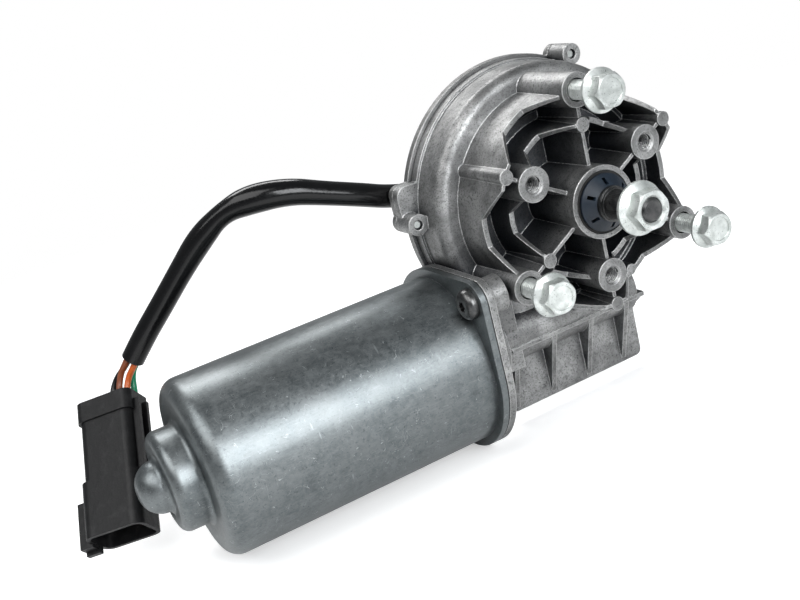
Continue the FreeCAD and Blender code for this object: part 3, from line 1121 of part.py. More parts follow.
for name, angle in BRUSH_TURNS:
    turn = FreeCAD.Rotation(FreeCAD.Vector(1, 0, 0), angle)
    half = "(S.brush_width / 2 + S.brush_gap)"
    along = "(S.brush_length / 2 + S.brush_gap)"
    outside = block(f"holder_outside_{name}", (f"-{along} - S.holder_wall", f"-{half} - S.holder_wall",
                                               f"{BRUSH_FACE} + 1.5"),
                    (f"{along} + S.holder_wall", f"{half} + S.holder_wall", "S.holder_outer"))
    inside = block(f"holder_inside_{name}", (f"-{along}", f"-{half}", "0"),
                   (along, half, "S.holder_outer - S.holder_wall"))
    holder = cut(f"holder_{name}", outside, inside)
    holders.append(put(holder, BRUSH_X, AXIS_Y, AXIS_Z, turn))
    blank = block(f"brush_blank_{name}", ("-S.brush_length / 2", "-S.brush_width / 2", "0"),
                  ("S.brush_length / 2", "S.brush_width / 2", f"{BRUSH_FACE} + S.brush_depth"))
    drum_cut = cylinder(f"brush_face_{name}", BRUSH_FACE, "S.brush_length + 2", "-S.brush_length / 2 - 1",
                        0, 0, TO_END)
    brush = cut(f"brush_{name}", blank, drum_cut)
    finish(put(brush, BRUSH_X, AXIS_Y, AXIS_Z, turn), f"brush_{name}")
    wire = size("spring_wire") / 2
    start = evaluate(f"{BRUSH_FACE} + S.brush_depth") + wire + 0.05
    room = size("holder_outer") - size("holder_wall") - start - wire - 0.05
    coil = Part.makeHelix(room / size("spring_turns"), room, size("spring"))
    section = Part.Wire(Part.makeCircle(wire, FreeCAD.Vector(size("spring"), 0, 0),
                                        FreeCAD.Vector(0, 1, 0)))
    spring = Part.Wire(coil).makePipeShell([section], True, True)
    socket_bottom = FreeCAD.Vector(evaluate(BRUSH_X), size("armature_y"), -size("centre_distance"))
    place = FreeCAD.Placement(socket_bottom + turn.multVec(FreeCAD.Vector(0, 0, start)), turn)
    finish(feature(f"spring_{name}", spring, place), f"spring_{name}")
finish(group("brush_holders", *holders), "brush_holders")


# Cords. A tube follows straight runs joined by arcs that are as large as the runs allow.

def tube_along(name, points, diameter):
    vectors = [FreeCAD.Vector(*point) for point in points]
    edges = []
    begin = vectors[0]
    radii = []
    for before, corner, after in zip(vectors, vectors[1:], vectors[2:]):
        first = (before - corner).normalize()
        second = (after - corner).normalize()
        shorter = min((before - corner).Length, (after - corner).Length)
        turn = math.pi - first.getAngle(second)
        reach = 0.45 * shorter
        radii.append(reach / math.tan(turn / 2))
        middle_direction = (first + second).normalize()
        centre = corner + middle_direction * (radii[-1] / math.cos(turn / 2))
        middle = centre - middle_direction * radii[-1]
        edges.append(Part.LineSegment(begin, corner + first * reach).toShape())
        edges.append(Part.Arc(corner + first * reach, middle, corner + second * reach).toShape())
        begin = corner + second * reach
    edges.append(Part.LineSegment(begin, vectors[-1]).toShape())
    path = Part.Wire(edges)
    direction = vectors[1] - vectors[0]
    section = Part.Wire(Part.makeCircle(diameter / 2, vectors[0], direction))
    shape = path.makePipeShell([section], True, False)
    expected = math.pi * diameter ** 2 / 4 * path.Length
    print(name, "length", round(path.Length, 1), "radii", [round(radius, 1) for radius in radii],
          "volume share", round(shape.Volume / expected, 4))
    return shape


# The sleeve leaves the outlet towards -X, folds once and falls behind the can to the connector.
SLEEVE_ROUTE = (
    (-51.0, 67.4, 13.2), (-61.2, 65.5, 15.6), (-75.8, 63.4, 21.7), (-90.6, 64.7, 27.2),
    (-106.0, 66.6, 33.0),
    (-122.0, 72.0, 34.0),
    (-132.9, 78.3, 30.9), (-142.7, 85.2, 22.7), (-153.4, 92.6, 10.4), (-165.2, 101.0, -4.1),
    (-175.1, 107.2, -15.5),
    (-182.2, 111.6, -24.8))
finish(feature("cable_sleeve", tube_along("cable_sleeve", SLEEVE_ROUTE, size("cable"))), "cable_sleeve")

CONNECTOR_TURN = FreeCAD.Rotation(size("connector_yaw"), size("connector_pitch"), size("connector_roll"))
CONNECTOR = FreeCAD.Placement(
    FreeCAD.Vector(size("connector_x"), size("connector_y"), size("connector_z")), CONNECTOR_TURN)


def in_connector(item):
    item.Placement = CONNECTOR
    return item


# Each wire: its place on the sleeve's end and on the connector's seal, across and up, then how far it
# runs straight at each end and how far its middle swings out.
WIRES = (
    ("brown_wire", (-2.0, 1.7), (4.7, 0.6), 3.0, 5.0, 1.5, 2.0),
    ("black_wire", (-1.9, -1.9), (-1.3, -3.6), 6.0, 6.0, 2.5, 2.5),
    ("orange_wire", (1.9, 1.9), (8.3, 0.2), 7.0, 3.0, 0.5, 0.5),
    ("green_wire", (2.0, -1.8), (9.3, -4.4), 6.0, 4.0, 1.0, 1.0),
)
sleeve_end = FreeCAD.Vector(*SLEEVE_ROUTE[-1])
sleeve_way = (sleeve_end - FreeCAD.Vector(*SLEEVE_ROUTE[-2])).normalize()
connector_way = CONNECTOR_TURN.multVec(FreeCAD.Vector(0, 0, 1))
across = CONNECTOR_TURN.multVec(FreeCAD.Vector(1, 0, 0))
across = (across - sleeve_way * across.dot(sleeve_way)).normalize()
upward = across.cross(sleeve_way)
for name, at_sleeve, at_seal, leaving, entering, swing_out, swing_in in WIRES:
    start = sleeve_end + across * at_sleeve[0] - upward * at_sleeve[1]
    seat = CONNECTOR.multVec(FreeCAD.Vector(*at_seal, -size("connector_length") - 0.8))
    leave = start + sleeve_way * leaving
    enter = seat - connector_way * entering
    between = (leave + enter) * 0.5 + sleeve_way * swing_out - connector_way * swing_in
    wire_route = [tuple(point) for point in (start, leave, between, enter, seat)]
    finish(feature(name, tube_along(name, wire_route, size("wire"))), name)

# Grommet in the outlet and the leads inside the gearbox.
grommet_blank = ring("grommet_blank", "S.grommet", "S.grommet_bore", "8", "-S.outlet_x - 4", "S.outlet_y",
                     "S.outlet_z",
                     TO_END)
# Its outer face is square to the sleeve, which leaves at a slant.
slant = FreeCAD.Vector(*SLEEVE_ROUTE[1]) - FreeCAD.Vector(*SLEEVE_ROUTE[0])
slant_turn = FreeCAD.Rotation(FreeCAD.Vector(0, 0, 1), slant)
slant_cut = Part.makeBox(40, 40, 20, FreeCAD.Vector(-20, -20, 0))
slant_block = feature("slant_block", slant_cut, FreeCAD.Placement(FreeCAD.Vector(*SLEEVE_ROUTE[0]),
                                                                  slant_turn))
finish(cut("grommet", grommet_blank, slant_block), "grommet")

# Connector housing: rear collar, waist and a wider mouth end with an open cavity.
HALF_WIDE = "S.connector_width / 2"
HALF_DEEP = "S.connector_depth / 2"


def connector_block(name, width, depth, low, high, rounding):
    """A bar along the connector, centred on its axis, with its long edges rounded."""
    item = new_body(name)
    sketch = new_sketch(item)
    corners = [(-1, -1), (1, -1), (1, 1), (-1, 1)]
    wide = evaluate(width) / 2
    deep = evaluate(depth) / 2
    for index in range(4):
        first = FreeCAD.Vector(corners[index][0] * wide, corners[index][1] * deep, 0)
        last = FreeCAD.Vector(corners[(index + 1) % 4][0] * wide, corners[(index + 1) % 4][1] * deep, 0)
        sketch.addGeometry(Part.LineSegment(first, last), False)
    for index in range(4):
        sketch.addConstraint(Sketcher.Constraint("Coincident", index, 2, (index + 1) % 4, 1))
        sketch.addConstraint(Sketcher.Constraint("Horizontal" if index % 2 == 0 else "Vertical", index))
    sketch.addConstraint(Sketcher.Constraint("Symmetric", 0, 1, 1, 2, -1, 1))
    place = sketch.addConstraint(Sketcher.Constraint("DistanceX", 0, 1, 0, 2, 2 * wide))
    sketch.setExpression(f"Constraints[{place}]", text(width))
    place = sketch.addConstraint(Sketcher.Constraint("DistanceY", 1, 1, 1, 2, 2 * deep))
    sketch.setExpression(f"Constraints[{place}]", text(depth))
    pad(item, sketch, f"{high} - ({low})")
    doc.recompute()
    base = item.Tip
    upright = [f"Edge{index}" for index, edge in enumerate(base.Shape.Edges, start=1)
               if abs(edge.Vertexes[0].Z - edge.Vertexes[-1].Z) > 1e-3]
    fillet = item.newObject("PartDesign::Fillet", name + "_round")
    fillet.Base = (base, upright)
    bind(fillet, Radius=rounding)
    item.Tip = fillet
    bind(item, Placement__Base__z=low)
    return item


SLIM = "S.connector_width - 2 * S.waist"
THIN = "S.connector_depth - 2 * S.waist"
mouth = connector_block("mouth", "S.connector_width", "S.connector_depth", "-S.mouth_length", "0", "4.6")
middle = connector_block("middle", SLIM, THIN, "-S.connector_length + 1", "1 - S.mouth_length", "4")
rear_collar = connector_block("rear_collar", "S.connector_width - 0.6", "S.connector_depth - 0.8",
                              "-S.connector_length", "-S.connector_length + S.collar_length", "3.8")
latch = block("latch", (f"-{HALF_WIDE} - S.latch", "-3.4", "-19"), (f"-{HALF_WIDE} + 1", "3.4", "1.5"))
latch_foot = block("latch_foot", (f"-{HALF_WIDE} - S.latch", "-3.4", "-1"),
                   (f"-{HALF_WIDE} + 2.2", "-1", "3.2"))
rail_upper = block("rail_upper", (f"{HALF_WIDE} - S.waist - 1", "2.4", "-S.connector_length + 4"),
                   (f"{HALF_WIDE} + 1.8", "4.4", "-S.mouth_length + 1"))
rail_lower = block("rail_lower", (f"{HALF_WIDE} - S.waist - 1", "-4.4", "-S.connector_length + 4"),
                   (f"{HALF_WIDE} + 1.8", "-2.4", "-S.mouth_length + 1"))
housing_solid = fuse("connector_solid", mouth, middle, rear_collar, latch, latch_foot, rail_upper,
                     rail_lower)
cavity = connector_block("cavity_space", "S.connector_width - 2 * S.connector_wall",
                         "S.connector_depth - 2 * S.connector_wall", "-S.cavity", "5", "3")
seal_space = connector_block("seal_space", "S.connector_width - 5", "S.connector_depth - 5.4",
                             "-S.connector_length - 1",
                             "-S.connector_length + 6", "2")
pin_holes = []
pins = []
for index, (x, y) in enumerate(((-4.2, 3.0), (4.2, 3.0), (-4.2, -3.0), (4.2, -3.0))):
    pin_holes.append(cylinder(f"pin_hole{index}", "S.pin_contact + 0.05", "S.connector_length", x, y,
                              "-S.connector_length + 4"))
    pins.append(turned(f"pin{index}", (
        (0, 0), ("S.pin_contact", 0), ("S.pin_contact", 1), ("S.pin_contact", "S.connector_length - 15"),
        ("S.pin_contact - 0.7", "S.connector_length - 13.6"), (0, "S.connector_length - 13.6")),
        x, y, "-S.connector_length + 6.4"))
finish(in_connector(cut("connector_body", housing_solid, cavity, seal_space, *pin_holes)), "connector_body")
finish(in_connector(group("connector_pins", *pins)), "connector_pins")
lock_blank = connector_block("lock_blank", "15.4", "12.6", "-S.cavity + 0.02", "-S.cavity + 8", "1.6")
lock_holes = [cylinder(f"lock_hole{index}", "S.pin_contact + 0.3", "12", x, y, "-S.cavity - 1")
              for index, (x, y) in enumerate(((-4.2, 3.0), (4.2, 3.0), (-4.2, -3.0), (4.2, -3.0)))]
finish(in_connector(cut("wedge_lock", lock_blank, *lock_holes)), "wedge_lock")
seal = connector_block("connector_seal_blank", "S.connector_width - 5.1", "S.connector_depth - 5.5",
                       "-S.connector_length - 0.8", "-S.connector_length + 5.9", "1.9")
finish(in_connector(group("connector_seal", seal)), "connector_seal")

# Leads inside: from the grommet through the gallery onto the switch plate, and under it to the brush plate.
PLATE_UNDER = size("split") + size("gasket") - 0.4 - size("lead") / 2
PLATE_OVER = size("split") + size("gasket") - 0.4 + size("switch_plate") + size("lead") / 2
leads = []
for index, (shift_y, shift_z, fan) in enumerate(((-1.25, -1.2, -2.3), (1.25, -1.2, 0), (-1.25, 1.2, 2.3),
                                                 (1.25, 1.2, 0))):
    y = size("outlet_y") + shift_y
    z = size("outlet_z") + shift_z
    x = -size("gallery_x")
    points = [(x - 14.2, y, z), (x - 8.5, y, z),
              (x - 1.5 + 0.6 * shift_y, PLATE_OVER + 4.5 + 0.5 * shift_y, z + 0.6 * fan),
              (x + 3 + 0.2 * shift_y, PLATE_OVER + 0.8 + 0.4 * shift_y, z + 0.95 * fan),
              (x + 12, PLATE_OVER, z + fan)]
    leads.append(feature(f"inner_lead{index}", tube_along(f"inner_lead{index}", points, size("lead"))))
finish(group("inner_leads", *leads), "inner_leads")
brush_leads = []
for index, (shift_y, shift_z) in enumerate(((-0.95, -1.15), (1.05, 0), (-0.95, 1.15))):
    y = size("passage_y") + shift_y
    z = -size("passage_z") + shift_z
    x = -size("brush_plate_face")
    points = [(x, y, z), (x + 11, y, z), (x + 22, y + 1.4, z + 0.4),
              (x + 31, PLATE_UNDER - 0.5, z + 2.5 + 1.4 * index),
              (x + 39, PLATE_UNDER, z + 6 + 2.2 * index)]
    brush_leads.append(feature(f"brush_lead{index}",
                               tube_along(f"brush_lead{index}", points, size("lead"))))
finish(group("brush_leads", *brush_leads), "brush_leads")

# Everything is checked before anything is written.
doc.recompute()
for item in doc.Objects:
    if "Invalid" in item.State or "Error" in item.State:
        raise RuntimeError(f"{item.Name} ({item.Label}) failed: {item.State}")
labels = [item.Label for item in FINISHED]
if len(set(labels)) != len(labels):
    raise RuntimeError("two sub-parts share a name")
for item in FINISHED:
    if item.Shape.isNull() or not item.Shape.isValid() or not item.Shape.Solids:
        raise RuntimeError(f"{item.Label} has no valid shape")
os.makedirs("parts", exist_ok=True)
for item in FINISHED:
    item.Shape.exportStep(f"parts/{item.Label}.step")
    print(item.Label, len(item.Shape.Solids), "solids", round(item.Shape.Volume, 1), "mm3")
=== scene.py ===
import math

import bmesh
import bpy
from mathutils import Matrix, Vector


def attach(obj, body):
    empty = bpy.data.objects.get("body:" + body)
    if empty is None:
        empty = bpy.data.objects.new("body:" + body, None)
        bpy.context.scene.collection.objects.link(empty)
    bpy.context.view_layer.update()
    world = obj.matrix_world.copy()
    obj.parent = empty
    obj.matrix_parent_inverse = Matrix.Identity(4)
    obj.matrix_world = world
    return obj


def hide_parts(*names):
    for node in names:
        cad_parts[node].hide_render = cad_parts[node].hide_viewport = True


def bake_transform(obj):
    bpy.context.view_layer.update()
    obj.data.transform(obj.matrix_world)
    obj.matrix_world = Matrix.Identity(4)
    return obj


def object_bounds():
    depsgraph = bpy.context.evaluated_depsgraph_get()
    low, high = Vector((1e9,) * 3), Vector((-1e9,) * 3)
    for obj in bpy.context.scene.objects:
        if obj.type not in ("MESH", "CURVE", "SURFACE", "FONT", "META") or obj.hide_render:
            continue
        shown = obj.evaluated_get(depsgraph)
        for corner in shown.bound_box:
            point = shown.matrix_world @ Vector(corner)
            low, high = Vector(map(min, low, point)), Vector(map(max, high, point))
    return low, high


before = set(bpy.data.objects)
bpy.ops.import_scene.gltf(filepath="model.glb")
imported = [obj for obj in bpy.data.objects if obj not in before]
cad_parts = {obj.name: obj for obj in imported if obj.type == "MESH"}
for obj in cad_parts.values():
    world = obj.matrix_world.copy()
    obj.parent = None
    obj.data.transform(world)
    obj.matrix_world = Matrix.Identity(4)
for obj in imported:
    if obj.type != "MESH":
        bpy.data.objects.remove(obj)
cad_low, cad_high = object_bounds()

scene = bpy.context.scene
scene.view_settings.view_transform = "Standard"


# Camera: a long lens from the front and left, a little above, with the motor can rising to the right.
# Its three axes are the picture's right, its up and the way back from it.
camera_data = bpy.data.cameras.new("view")
camera_data.sensor_width = 36
camera_data.lens = 49.71
camera_data.clip_start = 0.01
camera_data.clip_end = 20
camera = bpy.data.objects.new("view", camera_data)
scene.collection.objects.link(camera)
camera_right = (0.858, -0.4538, -0.2409)
camera_up = (0.3528, 0.1795, 0.9183)
camera_back = (-0.3735, -0.8729, 0.314)
camera_axes = Matrix((camera_right, camera_up, camera_back)).transposed()
camera.matrix_world = Matrix.Translation((-0.2549, -0.3680, 0.1254)) @ camera_axes.to_4x4()
scene.camera = camera


# Harness sleeve: a soft black plastic tube over four wires. It leaves the grommet at a slant, is
# folded once and falls behind the motor can.
def shader_nodes(name):
    material = bpy.data.materials.new(name)
    material.use_nodes = True
    nodes = material.node_tree.nodes
    nodes.clear()
    output = nodes.new("ShaderNodeOutputMaterial")
    shader = nodes.new("ShaderNodeBsdfPrincipled")
    material.node_tree.links.new(shader.outputs[0], output.inputs[0])
    return material, nodes, material.node_tree.links, shader


def place(nodes, links, stretch=(1, 1, 1)):
    coordinates = nodes.new("ShaderNodeTexCoord")
    mapping = nodes.new("ShaderNodeMapping")
    mapping.inputs["Scale"].default_value = stretch
    links.new(coordinates.outputs["Object"], mapping.inputs[0])
    return mapping.outputs[0]


def cloud(nodes, links, where, size_mm, detail=4, roughness=0.6, distortion=0.0):
    noise = nodes.new("ShaderNodeTexNoise")
    noise.inputs["Scale"].default_value = 1000 / size_mm
    noise.inputs["Detail"].default_value = detail
    noise.inputs["Roughness"].default_value = roughness
    noise.inputs["Distortion"].default_value = distortion
    links.new(where, noise.inputs["Vector"])
    return noise.outputs["Fac"]


def band(nodes, links, value, low, high, to_low=0.0, to_high=1.0):
    remap = nodes.new("ShaderNodeMapRange")
    remap.inputs["From Min"].default_value = low
    remap.inputs["From Max"].default_value = high
    remap.inputs["To Min"].default_value = to_low
    remap.inputs["To Max"].default_value = to_high
    links.new(value, remap.inputs["Value"])
    return remap.outputs[0]


def blend_colours(nodes, links, share, first, second):
    mix = nodes.new("ShaderNodeMix")
    mix.data_type = "RGBA"
    links.new(share, mix.inputs["Factor"])
    for socket, colour in (("A", first), ("B", second)):
        target = [item for item in mix.inputs if item.name == socket and item.type == "RGBA"][0]
        if isinstance(colour, tuple):
            target.default_value = (*colour, 1)
        else:
            links.new(colour, target)
    return [item for item in mix.outputs if item.type == "RGBA"][0]


def relief(nodes, links, shader, height, depth_mm, strength=1.0, below=None):
    bump = nodes.new("ShaderNodeBump")
    bump.inputs["Strength"].default_value = strength
    bump.inputs["Distance"].default_value = depth_mm / 1000
    links.new(height, bump.inputs["Height"])
    if below is not None:
        links.new(below, bump.inputs["Normal"])
    links.new(bump.outputs[0], shader.inputs["Normal"])
    return bump.outputs[0]


def vary_roughness(nodes, links, shader, pattern, low, high):
    links.new(band(nodes, links, pattern, 0.3, 0.7, low, high), shader.inputs["Roughness"])


def soft_plastic(name, colour, dust, roughness, grain_mm, wave_mm, depth_mm, sheen=0.5):
    material, nodes, links, shader = shader_nodes(name)
    where = place(nodes, links)
    fine = cloud(nodes, links, where, grain_mm, 5)
    wide = cloud(nodes, links, where, wave_mm, 3)
    dusty = band(nodes, links, wide, 0.52, 0.75)
    links.new(blend_colours(nodes, links, dusty, colour, dust), shader.inputs["Base Color"])
    vary_roughness(nodes, links, shader, fine, roughness - 0.08, roughness + 0.1)
    shader.inputs["Specular IOR Level"].default_value = sheen
    first = relief(nodes, links, shader, wide, depth_mm * 3, 0.5)
    relief(nodes, links, shader, fine, depth_mm, 0.35, first)
    return material


def tube_curve(name, points_mm, diameter_mm, material, sides, swell):
    data = bpy.data.curves.new(name, "CURVE")
    data.dimensions = "3D"
    data.resolution_u = 12
    data.bevel_depth = diameter_mm / 2000
    data.bevel_resolution = sides
    data.use_fill_caps = True
    spline = data.splines.new("NURBS")
    spline.points.add(len(points_mm) - 1)
    for point, place_mm in zip(spline.points, points_mm):
        point.co = (place_mm[0] / 1000, place_mm[1] / 1000, place_mm[2] / 1000, 1)
    for index, share in swell:
        spline.points[index].radius = share
    spline.order_u = 3
    spline.use_endpoint_u = True
    data.materials.append(material)
    piece = bpy.data.objects.new(name, data)
    scene.collection.objects.link(piece)
    return piece


SLEEVE_MM = 10.4
SLEEVE_ROUTE_MM = (
    (-51.0, 67.4, 13.2), (-61.2, 65.5, 15.6), (-75.8, 63.4, 21.7), (-90.6, 64.7, 27.2),
    (-106.0, 66.6, 33.0), (-122.0, 72.0, 34.0), (-132.9, 78.3, 30.9), (-142.7, 85.2, 22.7),
    (-153.4, 92.6, 10.4), (-165.2, 101.0, -4.1), (-175.1, 107.2, -15.5), (-182.2, 111.6, -24.8))
# Around its fold the sleeve is wider, then pinched: route point and share of the diameter.
SLEEVE_FOLD = ((4, 1.12), (5, 1.24), (6, 0.84), (7, 1.12))
sleeve_plastic = soft_plastic("sleeve_plastic", (0.002, 0.002, 0.0023), (0.004, 0.004, 0.0045),
                              roughness=0.16, grain_mm=0.9, wave_mm=14, depth_mm=0.05, sheen=0.36)
sleeve = tube_curve("harness_sleeve", SLEEVE_ROUTE_MM, SLEEVE_MM, sleeve_plastic, 10, SLEEVE_FOLD)
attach(sleeve, "gearbox")
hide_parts("cable_sleeve")


# Wires: four thin stranded leads with smooth coloured insulation, from the sleeve's open end into the
# seal at the back of the plug.
WIRE_COLOURS = {
    "brown_wire": ((0.200, 0.055, 0.020), (0.270, 0.085, 0.035)),
    "black_wire": ((0.005, 0.005, 0.005), (0.010, 0.010, 0.010)),
    "orange_wire": ((0.52, 0.10, 0.016), (0.60, 0.15, 0.035)),
    "green_wire": ((0.008, 0.24, 0.115), (0.025, 0.31, 0.165)),
}
for name, (colour, dust) in WIRE_COLOURS.items():
    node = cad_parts[name]
    node.data.materials.clear()
    node.data.materials.append(soft_plastic(name + "_insulation", colour, dust, roughness=0.32,
                                            grain_mm=0.3, wave_mm=5, depth_mm=0.03))


# Floor, backdrop and lamps: a pale table that fades into white, a large soft lamp above on the left,
# a smaller one in front and a narrow one behind.
FLOOR_RADIUS = 1.2
FLOOR_CENTRE = (-0.07, 0.04)
FLOOR_GAP = 0.0015
FADE_START, FADE_END = 0.30, 0.75
GLOW_TO_CAMERA = 0.42
floor_mesh = bpy.data.meshes.new("floor")
disc = bmesh.new()
bmesh.ops.create_circle(disc, cap_ends=True, segments=96, radius=FLOOR_RADIUS)
bmesh.ops.translate(disc, verts=disc.verts, vec=(*FLOOR_CENTRE, cad_low.z - FLOOR_GAP))
disc.to_mesh(floor_mesh)
disc.free()
floor = bpy.data.objects.new("floor", floor_mesh)
scene.collection.objects.link(floor)
floor_finish, nodes, links, shader = shader_nodes("floor_finish")
shader.inputs["Base Color"].default_value = (0.92, 0.92, 0.92, 1)
shader.inputs["Roughness"].default_value = 0.7
shader.inputs["Emission Color"].default_value = (1, 1, 1, 1)
seen = nodes.new("ShaderNodeLightPath")
glow = band(nodes, links, seen.outputs["Is Camera Ray"], 0, 1, 0, GLOW_TO_CAMERA)
links.new(glow, shader.inputs["Emission Strength"])
floor_grain = cloud(nodes, links, place(nodes, links), 3.0, 3)
relief(nodes, links, shader, floor_grain, 0.05, 0.2)
spread = nodes.new("ShaderNodeVectorMath")
spread.operation = "LENGTH"
links.new(place(nodes, links), spread.inputs[0])
faded = band(nodes, links, spread.outputs["Value"], FADE_START, FADE_END)
clear = nodes.new("ShaderNodeBsdfTransparent")
both = nodes.new("ShaderNodeMixShader")
links.new(faded, both.inputs[0])
links.new(shader.outputs[0], both.inputs[1])
links.new(clear.outputs[0], both.inputs[2])
links.new(both.outputs[0], [node for node in nodes if node.type == "OUTPUT_MATERIAL"][0].inputs[0])
floor_mesh.materials.append(floor_finish)

AROUND_BELOW, AROUND_ABOVE = 0.42, 0.25
HORIZON_LOW, HORIZON_HIGH = -0.10, 0.16
world = bpy.data.worlds.new("studio")
scene.world = world
world.use_nodes = True
nodes, links = world.node_tree.nodes, world.node_tree.links
nodes.clear()
seen = nodes.new("ShaderNodeLightPath")
backdrop = nodes.new("ShaderNodeBackground")
backdrop.inputs["Color"].default_value = (1, 1, 1, 1)
around = nodes.new("ShaderNodeBackground")
around.inputs["Color"].default_value = (0.93, 0.97, 1.0, 1)
facing = nodes.new("ShaderNodeSeparateXYZ")
links.new(nodes.new("ShaderNodeTexCoord").outputs["Generated"], facing.inputs[0])
strength = band(nodes, links, facing.outputs["Z"], HORIZON_LOW, HORIZON_HIGH, AROUND_BELOW, AROUND_ABOVE)
links.new(strength, around.inputs["Strength"])
chosen = nodes.new("ShaderNodeMixShader")
world_output = nodes.new("ShaderNodeOutputWorld")
links.new(seen.outputs["Is Camera Ray"], chosen.inputs[0])
links.new(around.outputs[0], chosen.inputs[1])
links.new(backdrop.outputs[0], chosen.inputs[2])
links.new(chosen.outputs[0], world_output.inputs[0])


def soft_lamp(name, position, target, width, height, watts, colour=(1, 1, 1)):
    data = bpy.data.lights.new(name, "AREA")
    data.shape = "RECTANGLE"
    data.size = width
    data.size_y = height
    data.energy = watts
    data.color = colour
    lamp = bpy.data.objects.new(name, data)
    lamp.location = position
    lamp.rotation_mode = "QUATERNION"
    lamp.rotation_quaternion = (Vector(target) - Vector(position)).to_track_quat("-Z", "Y")
    scene.collection.objects.link(lamp)


middle_of_motor = (-0.06, 0.03, -0.02)
soft_lamp("upper_left", (-0.75, -0.35, 0.95), middle_of_motor, width=1.3, height=0.9, watts=12)
soft_lamp("front", (0.02, -0.85, 0.33), middle_of_motor, width=0.5, height=0.5, watts=8,
          colour=(0.96, 0.98, 1))
soft_lamp("behind", (0.05, 0.75, 0.80), middle_of_motor, width=0.9, height=0.35, watts=7)


# Gearbox casting: pressure die-cast aluminium, blasted and unpainted. Its skin is mottled grey with
# darker flow marks. The raised edges are painted lighter, partly as wear and partly as painted highlight, and
# the deep corners are painted near-black as shade.
def soft_edges(nodes, radius_mm):
    rounded = nodes.new("ShaderNodeBevel")
    rounded.samples = 4
    rounded.inputs["Radius"].default_value = radius_mm / 1000
    return rounded.outputs[0]


def flatness(nodes, links, rounded):
    surface = nodes.new("ShaderNodeNewGeometry")
    angle = nodes.new("ShaderNodeVectorMath")
    angle.operation = "DOT_PRODUCT"
    links.new(rounded, angle.inputs[0])
    links.new(surface.outputs["Normal"], angle.inputs[1])
    return angle.outputs["Value"]


def openness(nodes, reach_mm):
    depth = nodes.new("ShaderNodeAmbientOcclusion")
    depth.samples = 6
    depth.inputs["Distance"].default_value = reach_mm / 1000
    return depth.outputs["AO"]


def product(nodes, links, first, second):
    both = nodes.new("ShaderNodeMath")
    both.operation = "MULTIPLY"
    links.new(first, both.inputs[0])
    links.new(second, both.inputs[1])
    return both.outputs[0]


# Painted shade: the colour of the casting's enclosed corners.
RECESS_SHADE = (0.022, 0.026, 0.034)


def cast_metal(name, dark, light, edge, roughness, metallic, grain_depth_mm):
    material, nodes, links, shader = shader_nodes(name)
    where = place(nodes, links)
    wide = cloud(nodes, links, where, 16, 5, 0.62, 0.6)
    fine = cloud(nodes, links, where, 1.1, 6, 0.7)
    stains = cloud(nodes, links, where, 3.6, 5, 0.7, 0.8)
    specks = cloud(nodes, links, where, 0.55, 2, 0.5)
    tone = blend_colours(nodes, links, band(nodes, links, wide, 0.36, 0.64), dark, light)
    for pattern, low, high, strength, share_of_dark in (
            (fine, 0.48, 0.72, 0.8, 0.7), (stains, 0.56, 0.70, 0.7, 0.45), (specks, 0.60, 0.68, 0.85, 0.20)):
        tone = blend_colours(nodes, links, band(nodes, links, pattern, low, high, 0, strength), tone,
                             tuple(share_of_dark * part for part in dark))
    # Painted shade: the colour turns near-black where the surface is enclosed within 26 mm.
    tone = blend_colours(nodes, links, band(nodes, links, openness(nodes, 26), 0.10, 0.62), RECESS_SHADE, tone)
    rounded = soft_edges(nodes, 0.7)
    # Partly wear and partly painted highlight: the colour moves towards the edge colour where the rounded
    # normal leaves the true one.
    rubbed_and_highlit = band(nodes, links, flatness(nodes, links, rounded), 0.985, 0.90)
    worn_and_highlit = product(nodes, links, rubbed_and_highlit, band(nodes, links, fine, 0.36, 0.54))
    links.new(blend_colours(nodes, links, worn_and_highlit, tone, edge), shader.inputs["Base Color"])
    vary_roughness(nodes, links, shader, fine, roughness - 0.1, roughness + 0.12)
    shader.inputs["Metallic"].default_value = metallic
    first = relief(nodes, links, shader, wide, 0.5, 0.25, rounded)
    relief(nodes, links, shader, fine, grain_depth_mm, 0.6, first)
    return material


def finish_nodes(names, material):
    for name in names:
        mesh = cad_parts[name].data
        mesh.materials.clear()
        mesh.materials.append(material)


casting = cast_metal("die_casting", (0.190, 0.191, 0.190), (0.400, 0.401, 0.398), (0.84, 0.84, 0.83),
                     roughness=0.44, metallic=0.85, grain_depth_mm=0.12)
finish_nodes(["gear_housing"], casting)


# Back cover: a plainer casting with ribs. Its gasket and the other seals are black rubber, a little
# dusty, as are the grommet and the flange's gasket.
cover_casting = cast_metal("cover_casting", (0.168, 0.168, 0.166), (0.32, 0.32, 0.316), (0.66, 0.66, 0.65),
                           roughness=0.44, metallic=0.85, grain_depth_mm=0.10)
finish_nodes(["back_cover"], cover_casting)
black_rubber = soft_plastic("black_rubber", (0.005, 0.005, 0.005), (0.014, 0.014, 0.013),
                            roughness=0.62, grain_mm=0.4, wave_mm=6, depth_mm=0.08)
finish_nodes(["cover_gasket", "output_seal", "grommet", "connector_seal", "flange_gasket"], black_rubber)


